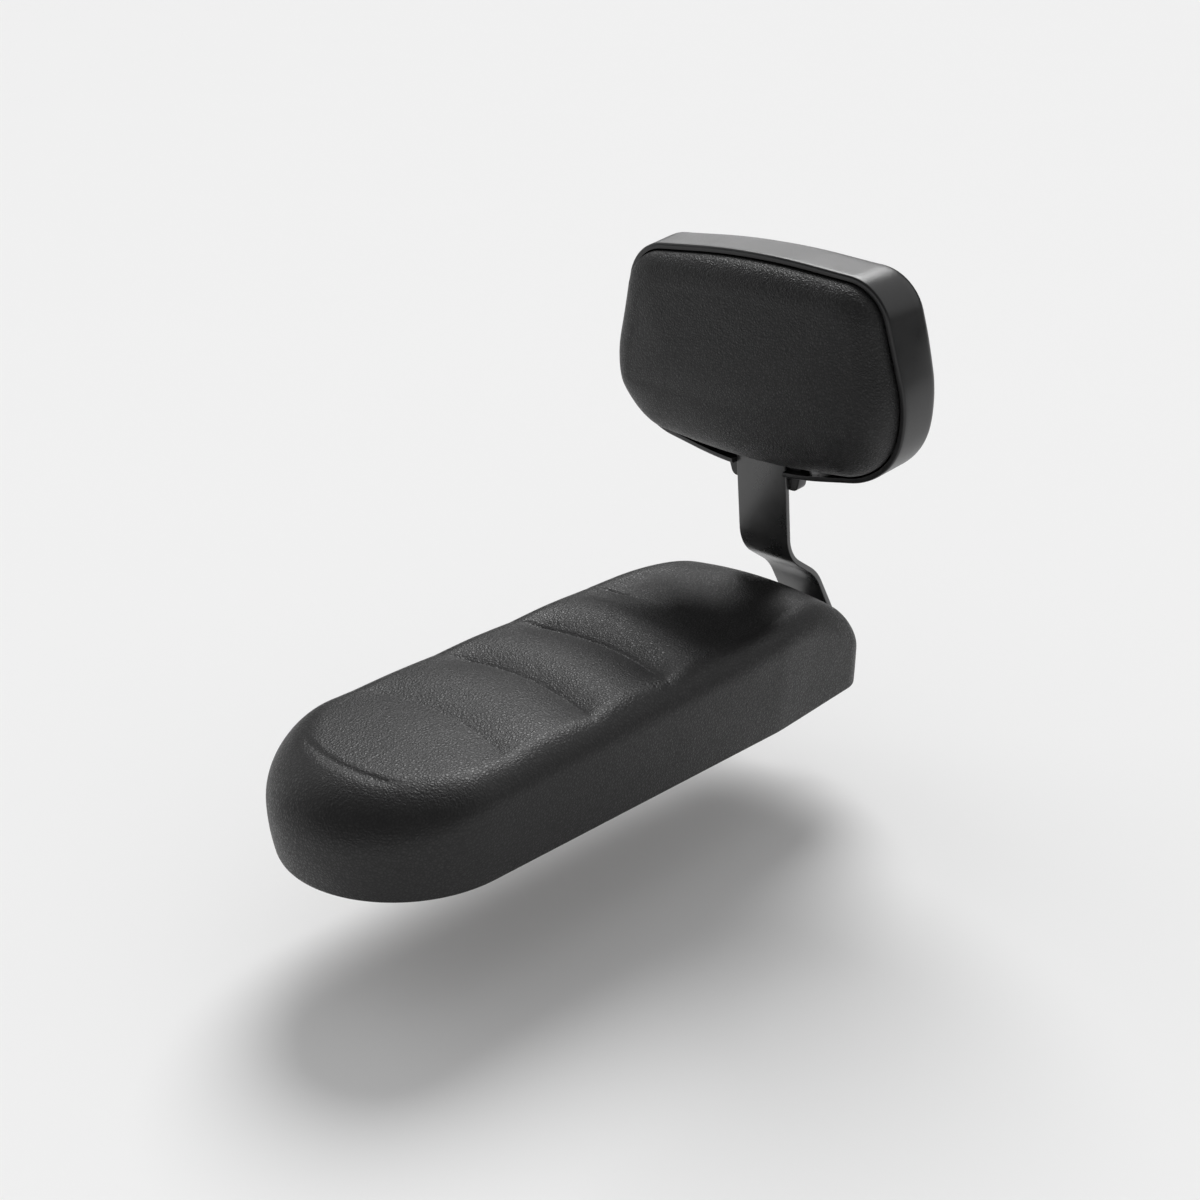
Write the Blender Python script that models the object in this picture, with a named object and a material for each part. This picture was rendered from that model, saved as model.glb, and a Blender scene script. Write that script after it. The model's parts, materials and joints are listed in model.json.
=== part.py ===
"""Passenger seat for a cycle's rear rack: a long moulded pad and a small backrest on a bent flat bar.

The frame has +Z up and the passenger facing -Y. The origin is the middle of the flat underside, which lies
on the rack. The bar slides back under the seat, and the backrest slides up along the bar; each is clamped
by two bolts in slots. Lengths are in metres.
"""

import math

import bmesh
import bpy
from mathutils import Matrix, Vector

# Clearance between separate pieces, and how far a cutter runs past a wall.
GAP = 0.0003
THROUGH = 0.03

# Seat pad, in plan: a half-round front, straight sides and a tail that narrows a little.
SEAT_WIDTH = 0.160
SEAT_FRONT = -0.230
SEAT_TAIL_START = 0.117
SEAT_TAIL_CORNER = (0.0705, 0.2295)
SEAT_TAIL_CORNER_R = 0.026
SEAT_REAR = 0.2315
SPINE_FRONT = SEAT_FRONT + SEAT_WIDTH / 2
SPINE_REAR = 0.190

# Seat pad, in height.
SHOULDER_FRONT_Z = 0.0672
SHOULDER_RISE = 0.042
TAIL_FALL_START = 0.125
TAIL_FALL = 4.2
TAIL_CROWN = 0.0075
WALL_BULGE = 0.0035
TAIL_BULGE = 0.0005
WALL_BULGE_Z = 0.048
SHOULDER_R = 0.020
NOSE_R = 0.037
PILLOW_HEIGHT = 0.0040
CREASES_Y = (-0.199, -0.046, 0.023, 0.098)
CREASE_BOW = 2.5
NOSE_CREASE_BOW = 4.5
FAINT_CREASE_Y = -0.116
FAINT_CREASE_DEPTH = 0.0012
DISH_DEPTH = 0.0045
DISH_END = 0.180
SEAT_STEP = 0.011
SKIN_T = 0.0025
SKIN_CLEARANCE = 0.0005

# Plywood base board with the channel that the bar lies in.
BOARD_T = 0.014
CHANNEL_HEIGHT = 0.0105
CHANNEL_FRONT = 0.064
CHANNEL_ROOM = 0.0012
RACK_TNUT_X = 0.045
RACK_TNUTS_Y = (-0.120, 0.050)

# Flat bar, 45 by 4 mm.
BAR_WIDTH = 0.045
BAR_T = 0.004
BAR_LEG_FRONT = 0.070
BAR_LEG_TOP_Z = CHANNEL_HEIGHT - GAP
BAR_REACH_TRAVEL = 0.030
BAR_BOLTS_Y = (0.115, 0.185)
SLOT_R = 0.0033

# Backrest frame: its origin is on the bar's front face, where the pad's lower edge crosses it.
BACKREST_ORIGIN = (0.0, 0.184, 0.1655)
BACKREST_LEAN = math.radians(6.0)
BACKREST_TRAVEL = 0.025
BACKREST_BOLTS_Z = (0.030, 0.070)
BAR_TOP = 0.110
RIM_FRONT = -0.004
SHELL_DEPTH = 0.039
RIM_WIDTH = 0.0038
BACKREST_STEP = 0.013
SIDE_FLARE = 0.0035
WALL_T = 0.003
BAR_SEAT_DEPTH = 0.0007
TOWER_FRONT = BAR_T + GAP - BAR_SEAT_DEPTH
TOWER_FLOOR_T = 0.004
TOWER_TOP = 0.094
TOWER_TAPER = 0.004
TOWER_LOW = -0.021
TOWER_X = 0.0360
TOWER_LOW_X = 0.0295
TAB_T = 0.010
POST_R = 0.0070
SCREW_HOLE_R = 0.0023
COUNTERBORE_R = 0.0044
COUNTERBORE_START = 0.005
PAD_GAP = 0.0012
PAD_SKIN_T = 0.0015
PAD_BOARD_T = 0.005
PAD_BOARD_REAR = -0.0036
PAD_BOARD_GROW = -0.0055
PAD_EDGE_R = 0.021
PAD_LOWER_EDGE_R = 0.034
SCREWS_XZ = ((-0.080, 0.041), (0.080, 0.041), (-0.070, 0.112), (0.070, 0.112))

# Clamping hardware on the base board.
TNUT_BORE_R = 0.0026
TNUT_BARREL_R = 0.0040
TNUT_FLANGE_R = 0.0100
TNUT_FLANGE_T = 0.0013
TAPPING_PLATE_X = 0.018
TAPPING_PLATE_END = 0.021
TAPPING_PLATE_T = 0.003
WELD_NUT_R = 0.0058
WELD_NUT_H = 0.005

# M6 fasteners.
SHANK_R = 0.0027
THREAD_HOLE_R = 0.0030
BOLT_HOLE_R = 0.0033
HEAD_R = 0.00525
HEAD_H = 0.0032
HEX_SOCKET_R = 0.0023
WASHER_R = 0.0075
WASHER_T = 0.0016
WASHER_HOLE_R = 0.0031


def clear_scene():
    for obj in list(bpy.data.objects):
        bpy.data.objects.remove(obj, do_unlink=True)


def make_material(name, colour, roughness, metallic=0.0):
    material = bpy.data.materials.new(name)
    material.use_nodes = True
    shader = material.node_tree.nodes["Principled BSDF"]
    shader.inputs["Base Color"].default_value = (*colour, 1.0)
    shader.inputs["Roughness"].default_value = roughness
    shader.inputs["Metallic"].default_value = metallic
    return material


def smoothstep(low, high, value):
    share = min(max((value - low) / (high - low), 0.0), 1.0)
    return share * share * (3.0 - 2.0 * share)


# Outlines ------------------------------------------------------------------------------------------------


def corner_arc(before, corner, after, radius, step):
    """Points of the arc that rounds one corner of an outline."""
    to_before = (before - corner).normalized()
    to_after = (after - corner).normalized()
    half = to_before.angle(to_after) / 2
    tangent = radius / math.tan(half)
    centre = corner + (to_before + to_after).normalized() * radius / math.sin(half)
    start = corner + to_before * tangent - centre
    sweep = math.pi - 2 * half
    turn = 1 if (corner - before).cross(after - corner) > 0 else -1
    count = max(2, math.ceil(radius * sweep / step))
    points = []
    for i in range(count + 1):
        angle = turn * sweep * i / count
        points.append(centre + Matrix.Rotation(angle, 2) @ start)
    return points


def rounded_outline(corners, step):
    """A closed outline from (x, y, radius) corners, with its straight stretches divided too."""
    places = [Vector(corner[:2]) for corner in corners]
    points = []
    for i, corner in enumerate(corners):
        after = places[(i + 1) % len(places)]
        points += corner_arc(places[i - 1], places[i], after, corner[2], step)
    outline = []
    for i, point in enumerate(points):
        after = points[(i + 1) % len(points)]
        if (after - point).length < 1e-6:
            continue
        count = max(1, round((after - point).length / step))
        outline += [point.lerp(after, j / count) for j in range(count)]
    return outline


def outline_normals(outline):
    normals = []
    for i, point in enumerate(outline):
        along = outline[(i + 1) % len(outline)] - outline[i - 1]
        normals.append(Vector((along.y, -along.x)).normalized())
    return normals


def seat_outline(step):
    """The seat's outline at its underside, counterclockwise seen from above."""
    half = SEAT_WIDTH / 2
    corner_x, corner_y = SEAT_TAIL_CORNER
    return rounded_outline(
        [
            (-half, SEAT_FRONT, half),
            (half, SEAT_FRONT, half),
            (half, SEAT_TAIL_START, 0.15),
            (corner_x, corner_y, SEAT_TAIL_CORNER_R),
            (0.0, SEAT_REAR, 0.30),
            (-corner_x, corner_y, SEAT_TAIL_CORNER_R),
            (-half, SEAT_TAIL_START, 0.15),
        ],
        step,
    )


def backrest_outline(step):
    """The line where the pad meets the shell's rim, in the backrest's X and Z."""
    return rounded_outline(
        [
            (0.0, -0.002, 0.60),
            (0.112, 0.009, 0.045),
            (0.1245, 0.060, 0.080),
            (0.104, 0.1395, 0.032),
            (0.0, 0.148, 0.60),
            (-0.104, 0.1395, 0.032),
            (-0.1245, 0.060, 0.080),
            (-0.112, 0.009, 0.045),
        ],
        step,
    )


# Meshes --------------------------------------------------------------------------------------------------


def finish_object(name, bm, material, parent=None):
    bmesh.ops.remove_doubles(bm, verts=bm.verts[:], dist=2e-6)
    bmesh.ops.dissolve_degenerate(bm, edges=bm.edges[:], dist=1e-7)
    bmesh.ops.recalc_face_normals(bm, faces=bm.faces[:])
    mesh = bpy.data.meshes.new(name)
    bm.to_mesh(mesh)
    bm.free()
    mesh.materials.append(material)
    mesh.shade_smooth()
    mesh.set_sharp_from_angle(angle=math.radians(35))
    obj = bpy.data.objects.new(name, mesh)
    bpy.context.scene.collection.objects.link(obj)
    obj.parent = parent
    return obj


def loft(name, rings, material, parent=None):
    """One closed skin through rings of equal count, capped where its ends neither meet nor fold flat."""
    bm = bmesh.new()
    rows = [[bm.verts.new(point) for point in ring] for ring in rings]
    for lower, upper in zip(rows, rows[1:]):
        for i in range(len(lower)):
            j = (i + 1) % len(lower)
            bm.faces.new((lower[i], lower[j], upper[j], upper[i]))
    is_tube = all((Vector(a) - Vector(b)).length < 1e-9 for a, b in zip(rings[0], rings[-1]))
    for end in () if is_tube else (0, -1):
        if not is_folded(rings[end]):
            cap = bm.faces.new(rows[end])
            bmesh.ops.triangulate(bm, faces=[cap])
    return finish_object(name, bm, material, parent)


def is_folded(ring):
    """True for a ring squeezed flat onto a spine, which needs no cap."""
    area = Vector()
    for i, point in enumerate(ring):
        area += Vector(ring[i - 1]).cross(Vector(point))
    return area.length < 1e-7


def turned(name, profile, material, parent=None, segments=16, matrix=None):
    """A turned piece: profile holds (radius, height) pairs that end on the axis or form a ring."""
    place = matrix or Matrix()
    rings = []
    for radius, height in profile:
        ring = []
        for i in range(segments):
            angle = 2 * math.pi * i / segments
            ring.append(place @ Vector((radius * math.cos(angle), radius * math.sin(angle), height)))
        rings.append(ring)
    return loft(name, rings, material, parent)


def hole(radius):
    """Profile of a plain cutter that runs through any wall here."""
    return [(0.0, -THROUGH), (radius, -THROUGH), (radius, THROUGH), (0.0, THROUGH)]


def box(name, low, high, material, parent=None):
    bm = bmesh.new()
    bmesh.ops.create_cube(bm, size=1.0)
    low, high = Vector(low), Vector(high)
    for vert in bm.verts:
        vert.co = Vector(low[i] + (vert.co[i] + 0.5) * (high[i] - low[i]) for i in range(3))
    return finish_object(name, bm, material, parent)


def prism(name, outline, low, high, material, place, parent=None):
    """An outline of (a, b) pairs extruded from low to high; place turns (a, b, c) into a point."""
    rings = [[place(a, b, c) for a, b in outline] for c in (low, high)]
    return loft(name, rings, material, parent)


def combine(target, tool, operation="DIFFERENCE"):
    """Adds an exact Boolean and hides the tool."""
    tool.hide_render = True
    tool.display_type = "WIRE"
    modifier = target.modifiers.new(tool.name, "BOOLEAN")
    modifier.object = tool
    modifier.operation = operation
    modifier.solver = "EXACT"


def slot_outline(low, high, radius, count=10):
    """A straight slot along the second axis, with round ends centred on low and high."""
    points = []
    for centre, start in ((high, 0.0), (low, math.pi)):
        for i in range(count + 1):
            angle = start + math.pi * i / count
            points.append((radius * math.cos(angle), centre + radius * math.sin(angle)))
    return points


def flat(a, b, c):
    return (a, b, c)


def upright(a, b, c):
    return (a, c, b)


# Seat pad ------------------------------------------------------------------------------------------------


def shoulder_height(y):
    """Height of the pad along its shoulders: it rises to the rear, then falls over the tail."""
    rise = SHOULDER_FRONT_Z + SHOULDER_RISE * (y - SPINE_FRONT)
    return rise - TAIL_FALL * max(y - TAIL_FALL_START, 0.0) ** 2


def plain_height(x, y):
    """The pad's top without its pillows."""
    across = 1.0 - (2 * x / SEAT_WIDTH) ** 2
    crown = 0.002 + TAIL_CROWN * smoothstep(0.130, 0.200, y)
    return shoulder_height(y) + crown * across


def pillow_relief(x, y):
    """The row of pillows between the creases, and the dish behind them."""
    creases = [place - CREASE_BOW * x * x for place in CREASES_Y]
    creases[0] = CREASES_Y[0] + NOSE_CREASE_BOW * x * x
    fade = 1.0 - smoothstep(0.052, 0.074, abs(x))
    faint = y - FAINT_CREASE_Y + CREASE_BOW * x * x
    dent = FAINT_CREASE_DEPTH * math.exp(-((faint / 0.007) ** 2))
    for front, rear in zip(creases, creases[1:]):
        if front <= y < rear:
            share = (y - front) / (rear - front)
            return fade * (PILLOW_HEIGHT * (4 * share * (1 - share) - 0.6) - dent)
    if y < creases[0]:
        return -0.6 * fade * PILLOW_HEIGHT * smoothstep(creases[0] - 0.03, creases[0], y)
    share = min((y - creases[-1]) / (DISH_END - creases[-1]), 1.0)
    return fade * (-0.6 * PILLOW_HEIGHT * (1 - share) - DISH_DEPTH * math.sin(math.pi * share))


def seat_height(x, y):
    return plain_height(x, y) + pillow_relief(x, y)


def seat_rings(outline, inset, walls, shoulder_steps, inner_steps):
    """Rings from the wall's foot up over the shoulder to the spine, inset evenly from the outer surface."""
    normals = outline_normals(outline)
    rings = []
    tail = [smoothstep(0.06, 0.18, point.y) for point in outline]
    bulges = [WALL_BULGE + (TAIL_BULGE - WALL_BULGE) * share for share in tail]
    for z in walls:
        ring = []
        for point, normal, full in zip(outline, normals, bulges):
            bulge = full * (1 - (1 - z / WALL_BULGE_Z) ** 2)
            spot = point + normal * (bulge - inset)
            ring.append(Vector((spot.x, spot.y, z)))
        rings.append(ring)
    for step in range(shoulder_steps + inner_steps + 1):
        ring = []
        for point, normal, full in zip(outline, normals, bulges):
            nose = smoothstep(SPINE_FRONT, SEAT_FRONT, point.y)
            radius = SHOULDER_R + (NOSE_R - SHOULDER_R) * nose - inset
            edge = point + normal * (full - inset)
            spine = Vector((0.0, min(max(point.y, SPINE_FRONT), SPINE_REAR)))
            inward = spine - edge
            angle = math.pi / 2 * min(step / shoulder_steps, 1.0)
            past = max(step - shoulder_steps, 0) / inner_steps
            reach = radius * (1 - math.cos(angle))
            reach += (inward.length - radius) * past
            spot = edge + inward.normalized() * reach
            z = seat_height(spot.x, spot.y) - inset - radius * (1 - math.sin(angle))
            ring.append(Vector((spot.x, spot.y, z)))
        rings.append(ring)
    return rings


def make_seat_skin(material):
    """Grained skin over the foam, with a notch at the rear that the bar passes through."""
    outline = seat_outline(SEAT_STEP)
    outer = seat_rings(outline, 0.0, (0.0, 0.016, 0.034), 4, 4)
    inner = seat_rings(outline, SKIN_T, (0.0, 0.030), 3, 3)
    skin = loft("seat_skin", inner[::-1] + outer, material)
    half = BAR_WIDTH / 2 + CHANNEL_ROOM
    low = (-half, SPINE_REAR, -THROUGH)
    high = (half, SEAT_REAR + THROUGH, CHANNEL_HEIGHT + 0.002)
    combine(skin, box("cut_skin_notch", low, high, material))
    return skin


def make_seat_foam(material):
    """Foam core between the skin and the board, hollowed over the tapping plate."""
    outline = seat_outline(SEAT_STEP)
    rings = seat_rings(outline, SKIN_T + 2 * SKIN_CLEARANCE, (BOARD_T + GAP, 0.030), 3, 3)
    foam = loft("seat_foam", rings, material)
    room = 0.0005
    half = TAPPING_PLATE_X + room
    end = TAPPING_PLATE_END + room
    top = BOARD_T + GAP + TAPPING_PLATE_T + WELD_NUT_H + 2 * room
    low = (-half, BAR_BOLTS_Y[0] - end, 0.0)
    high = (half, BAR_BOLTS_Y[1] + end, top)
    combine(foam, box("cut_foam_plate", low, high, material))
    return foam


def make_base_board(material):
    """Plywood board that closes the pad's underside, with the bar's channel, bolt holes and T-nut holes."""
    outline = seat_outline(0.014)
    normals = outline_normals(outline)
    inset = SKIN_T + SKIN_CLEARANCE
    edge = [point - normal * inset for point, normal in zip(outline, normals)]
    board = prism("base_board", edge, 0.0, BOARD_T, material, flat)
    half = BAR_WIDTH / 2 + CHANNEL_ROOM
    low = (-half, CHANNEL_FRONT, -THROUGH)
    high = (half, SEAT_REAR + THROUGH, CHANNEL_HEIGHT)
    combine(board, box("cut_board_channel", low, high, material))
    for i, y in enumerate(BAR_BOLTS_Y):
        move = Matrix.Translation((0.0, y, 0.0))
        combine(board, turned(f"cut_board_bolt_{i}", hole(BOLT_HOLE_R), material, matrix=move))
    recess = BOARD_T - TNUT_FLANGE_T - 2 * GAP
    for i, (x, y) in enumerate(rack_places()):
        move = Matrix.Translation((x, y, 0.0))
        barrel = TNUT_BARREL_R + GAP
        flange = TNUT_FLANGE_R + GAP
        profile = [(0.0, -THROUGH), (barrel, -THROUGH), (barrel, recess), (flange, recess)]
        profile += [(flange, THROUGH), (0.0, THROUGH)]
        combine(board, turned(f"cut_board_tnut_{i}", profile, material, matrix=move))
    return board


def rack_places():
    return [(x, y) for y in RACK_TNUTS_Y for x in (-RACK_TNUT_X, RACK_TNUT_X)]


def make_rack_tnuts(material):
    """Four M6 T-nuts, let into the board from above, that the rack's clamps bolt to."""
    foot = 0.001
    top = BOARD_T - GAP
    flange = top - TNUT_FLANGE_T
    for i, (x, y) in enumerate(rack_places()):
        move = Matrix.Translation((x, y, 0.0))
        profile = [(TNUT_BORE_R, foot), (TNUT_BARREL_R, foot), (TNUT_BARREL_R, flange)]
        profile += [(TNUT_FLANGE_R, flange), (TNUT_FLANGE_R, top), (TNUT_BORE_R, top), (TNUT_BORE_R, foot)]
        turned(f"rack_tnut_{i + 1}", profile, material, matrix=move)


def make_tapping_plate(material):
    """Steel plate on the board with two weld nuts, which the bar's bolts screw into."""
    low_z = BOARD_T + GAP
    top_z = low_z + TAPPING_PLATE_T
    low = (-TAPPING_PLATE_X, BAR_BOLTS_Y[0] - TAPPING_PLATE_END, low_z)
    high = (TAPPING_PLATE_X, BAR_BOLTS_Y[1] + TAPPING_PLATE_END, top_z)
    plate = box("tapping_plate", low, high, material)
    root = top_z - 0.001
    nut_top = top_z + WELD_NUT_H
    for i, y in enumerate(BAR_BOLTS_Y):
        move = Matrix.Translation((0.0, y, 0.0))
        nut = [(0.0, root), (WELD_NUT_R, root), (WELD_NUT_R, nut_top), (0.0, nut_top)]
        combine(plate, turned(f"add_weld_nut_{i}", nut, material, segments=6, matrix=move), "UNION")
        combine(plate, turned(f"cut_weld_nut_{i}", hole(THREAD_HOLE_R), material, matrix=move))
    return plate


def make_bolt(name, length, matrix, material, parent=None):
    """Button-head bolt with a hexagon socket: its head lies below height 0 and its shank above."""
    dome = [(HEAD_R * 0.55, -HEAD_H), (HEAD_R * 0.86, -0.72 * HEAD_H), (HEAD_R, -0.22 * HEAD_H)]
    profile = [(0.0, -HEAD_H), *dome, (HEAD_R, 0.0), (SHANK_R, 0.0), (SHANK_R, length), (0.0, length)]
    bolt = turned(name, profile, material, parent, matrix=matrix)
    socket = [(0.0, -0.006), (HEX_SOCKET_R, -0.006), (HEX_SOCKET_R, -0.0012), (0.0, -0.0012)]
    combine(bolt, turned("cut_" + name, socket, material, parent, segments=6, matrix=matrix))
    return bolt


def make_washer(name, low, matrix, material, parent=None):
    high = low + WASHER_T
    profile = [(WASHER_HOLE_R, low), (WASHER_R, low), (WASHER_R, high), (WASHER_HOLE_R, high)]
    return turned(name, profile + profile[:1], material, parent, matrix=matrix)


def make_bar_fasteners(material):
    """The two bolts and washers that clamp the bar's leg up against the board."""
    under_bar = BAR_LEG_TOP_Z - BAR_T
    seat_of_head = under_bar - WASHER_T - 2 * GAP
    for i, y in enumerate(BAR_BOLTS_Y):
        make_bolt(f"bracket_bolt_{i + 1}", 0.0175, Matrix.Translation((0.0, y, seat_of_head)), material)
        make_washer(f"bracket_washer_{i + 1}", GAP, Matrix.Translation((0.0, y, seat_of_head)), material)


# Bar -----------------------------------------------------------------------------------------------------


def backrest_point(forward, up):
    """World Y and Z of a point in the backrest frame, forward being towards the passenger."""
    origin = Vector(BACKREST_ORIGIN[1:])
    sin, cos = math.sin(BACKREST_LEAN), math.cos(BACKREST_LEAN)
    return origin + Vector((-cos * forward - sin * up, -sin * forward + cos * up))


def along_upright(a, b, c):
    """A point a across the bar, b up it and c behind its front face."""
    return (a, *backrest_point(-c, b))


def bar_path():
    """Y and Z along the bar's upper and front face: leg, rear bend, shoulder, upright."""
    ends = [Vector((BAR_LEG_FRONT, BAR_LEG_TOP_Z)), backrest_point(0.0, BAR_TOP)]
    bends = [(0.2490, BAR_LEG_TOP_Z, 0.012), (0.2490, 0.0322, 0.020), (0.2270, 0.0688, 0.040)]
    bends.append((0.1922, 0.0914, 0.032))
    corners = [ends[0]] + [Vector(bend[:2]) for bend in bends] + [ends[1]]
    path = [ends[0]]
    for i, bend in enumerate(bends):
        arc_step = bend[2] * math.radians(9)
        path += corner_arc(corners[i], corners[i + 1], corners[i + 2], bend[2], arc_step)
    return path + [ends[1]]


def make_bar(material):
    """Flat steel bar bent from the leg under the seat up to the backrest, with two slots at each end."""
    path = bar_path()
    half = BAR_WIDTH / 2
    ease = 0.0006
    section = [(-half, ease), (-half + ease, 0.0), (half - ease, 0.0), (half, ease)]
    section += [(half, BAR_T - ease), (half - ease, BAR_T), (-half + ease, BAR_T), (-half, BAR_T - ease)]
    rings = []
    for i, point in enumerate(path):
        before = path[max(i - 1, 0)]
        after = path[min(i + 1, len(path) - 1)]
        along = (after - before).normalized()
        outward = Vector((along.y, -along.x))
        if 0 < i < len(path) - 1:
            outward /= math.cos((point - before).angle(after - point) / 2)
        rings.append([(x, *(point + outward * depth)) for x, depth in section])
    bar = loft("backrest_bar", rings, material)
    for i, y in enumerate(BAR_BOLTS_Y):
        outline = slot_outline(y - BAR_REACH_TRAVEL, y, SLOT_R)
        combine(bar, prism(f"cut_leg_slot_{i}", outline, 0.0, THROUGH, material, flat))
    for i, up in enumerate(BACKREST_BOLTS_Z):
        outline = slot_outline(up, up + BACKREST_TRAVEL, SLOT_R)
        combine(bar, prism(f"cut_upright_slot_{i}", outline, -THROUGH, THROUGH, material, along_upright))
    return bar


# Backrest ------------------------------------------------------------------------------------------------


def make_backrest_frame():
    frame = bpy.data.objects.new("backrest_frame", None)
    bpy.context.scene.collection.objects.link(frame)
    frame.location = BACKREST_ORIGIN
    frame.rotation_euler = (BACKREST_LEAN, 0.0, 0.0)
    return frame


def backrest_ring(outline, grow, y, flare=0.0):
    """One ring of the backrest outline at depth y, grown outwards, with its upper sides flared further."""
    normals = outline_normals(outline)
    ring = []
    for point, normal in zip(outline, normals):
        widen = flare * abs(normal.x) * smoothstep(0.050, 0.110, point.y)
        spot = point + normal * (grow + widen)
        ring.append(Vector((spot.x, y, spot.y)))
    return ring


def drill(name, x, z, profile, material, frame, segments=16):
    """A turned cutter or stud in the backrest frame: profile heights count from the origin to the rear."""
    matrix = Matrix.Translation((x, 0.0, z)) @ Matrix.Rotation(-math.pi / 2, 4, "X")
    return turned(name, profile, material, frame, segments=segments, matrix=matrix)


def tower_outline(grow, top):
    """The tower behind the bar, in X and Z: it narrows downwards to the end below the shell."""
    wide = TOWER_X + grow
    narrow = TOWER_LOW_X + grow
    low = TOWER_LOW - grow
    high = top + grow
    right = [(narrow, low), (wide, TOWER_TAPER), (wide, high)]
    left = [(-x, z) for x, z in reversed(right)]
    return right + left


def make_backrest_shell(material, frame):
    """Tray-shaped rear shell: rounded rim, hollow tower for the bar, screw posts, recessed bolt pocket."""
    outline = backrest_outline(BACKREST_STEP)
    rear = RIM_FRONT + SHELL_DEPTH
    outer = [
        backrest_ring(outline, 0.0, RIM_FRONT),
        backrest_ring(outline, RIM_WIDTH - 0.0012, RIM_FRONT),
        backrest_ring(outline, RIM_WIDTH - 0.0003, RIM_FRONT + 0.0006),
        backrest_ring(outline, RIM_WIDTH, RIM_FRONT + 0.0018),
        backrest_ring(outline, RIM_WIDTH, rear - 0.0075, SIDE_FLARE),
        backrest_ring(outline, RIM_WIDTH - 0.0018, rear - 0.0028, SIDE_FLARE),
        backrest_ring(outline, RIM_WIDTH - 0.0052, rear - 0.0007, SIDE_FLARE),
        backrest_ring(outline, RIM_WIDTH - 0.0100, rear, SIDE_FLARE),
    ]
    shell = loft("backrest_shell", outer, material, frame)
    cavity = [
        backrest_ring(outline, 0.0, RIM_FRONT - 0.01),
        backrest_ring(outline, 0.0, 0.010),
        backrest_ring(outline, 0.0, rear - 0.009, SIDE_FLARE - 0.001),
        backrest_ring(outline, -0.0050, rear - WALL_T, SIDE_FLARE - 0.001),
    ]
    combine(shell, loft("cut_shell_cavity", cavity, material, frame))
    inside_rear = rear - 0.001
    plan = tower_outline(0.0, TOWER_TOP)
    tower = prism("add_tower", plan, TOWER_FRONT, TOWER_FRONT + TAB_T, material, upright, frame)
    combine(shell, tower, "UNION")
    root_x = TOWER_X - 0.0005
    root_low = (-root_x, TOWER_FRONT + 0.002, 0.0015)
    root_high = (root_x, inside_rear, TOWER_TOP - 0.0004)
    combine(shell, box("add_tower_root", root_low, root_high, material, frame), "UNION")
    front = PAD_BOARD_REAR + GAP
    post = [(0.0, front), (POST_R, front), (POST_R + 0.0006, inside_rear), (0.0, inside_rear)]
    for i, (x, z) in enumerate(SCREWS_XZ):
        combine(shell, drill(f"add_screw_post_{i}", x, z, post, material, frame), "UNION")
    bore = [(0.0, -THROUGH), (SCREW_HOLE_R, -THROUGH), (SCREW_HOLE_R, COUNTERBORE_START)]
    bore += [(COUNTERBORE_R, COUNTERBORE_START), (COUNTERBORE_R + 0.0004, 0.05), (0.0, 0.05)]
    for i, (x, z) in enumerate(SCREWS_XZ):
        combine(shell, drill(f"cut_screw_hole_{i}", x, z, bore, material, frame))
    plan = tower_outline(-WALL_T - 0.0004, TOWER_TOP)
    floor = TOWER_FRONT + TOWER_FLOOR_T
    combine(shell, prism("cut_tower_pocket", plan, floor, 0.06, material, upright, frame))
    half = BAR_WIDTH / 2 + 0.0005
    low = (-half, -0.02, -0.05)
    high = (half, TOWER_FRONT + BAR_SEAT_DEPTH, BAR_TOP + THROUGH)
    combine(shell, box("cut_bar_notch", low, high, material, frame))
    for i, z in enumerate(BACKREST_BOLTS_Z):
        combine(shell, drill(f"cut_shell_bolt_{i}", 0.0, z, hole(BOLT_HOLE_R), material, frame))
    return shell


def pad_rings(outline, grow, first_y, drop, edge_steps, inner_steps):
    """Rings over the pad's front: a round edge, then a crowned face that is fullest at its lower middle."""
    rings = []
    normals = outline_normals(outline)
    for step in range(edge_steps + inner_steps + 1):
        ring = []
        for point, normal in zip(outline, normals):
            edge = point + normal * grow
            lower = smoothstep(0.35, 0.90, -normal.y)
            radius = PAD_EDGE_R + (PAD_LOWER_EDGE_R - PAD_EDGE_R) * lower + grow
            spine = Vector((min(max(point.x, -0.055), 0.055), 0.074))
            inward = spine - edge
            angle = math.pi / 2 * min(step / edge_steps, 1.0)
            past = 0.85 * max(step - edge_steps, 0) / inner_steps
            reach = radius * (1 - math.cos(angle)) + (inward.length - radius) * past
            spot = edge + inward.normalized() * reach
            full = 0.016 + 0.006 * smoothstep(0.135, 0.035, spot.y)
            crown = 0.003 * (1 - (spot.x / 0.125) ** 2)
            depth = (full + crown) * math.sin(angle)
            ring.append(Vector((spot.x, first_y - depth * (1 - drop / full), spot.y)))
        rings.append(ring)
    return rings


def make_backrest_skin(material, frame):
    """Upholstery over the pad's foam, wrapped round the board's edge and turned in behind it."""
    outline = backrest_outline(BACKREST_STEP)
    side = RIM_FRONT - 0.001
    outer = -PAD_GAP
    inner = outer - PAD_SKIN_T
    turned_in = inner - 0.012
    board_rear = PAD_BOARD_REAR + GAP
    rings = pad_rings(outline, inner, side, PAD_SKIN_T, 3, 3)[::-1]
    rings.append(backrest_ring(outline, inner, board_rear))
    rings.append(backrest_ring(outline, turned_in, board_rear))
    rings.append(backrest_ring(outline, turned_in, board_rear + PAD_SKIN_T))
    rings.append(backrest_ring(outline, outer - 0.0008, board_rear + PAD_SKIN_T))
    rings.append(backrest_ring(outline, outer, board_rear + PAD_SKIN_T - 0.0008))
    rings += pad_rings(outline, outer, side, 0.0, 5, 4)
    return loft("backrest_skin", rings, material, frame)


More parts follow.
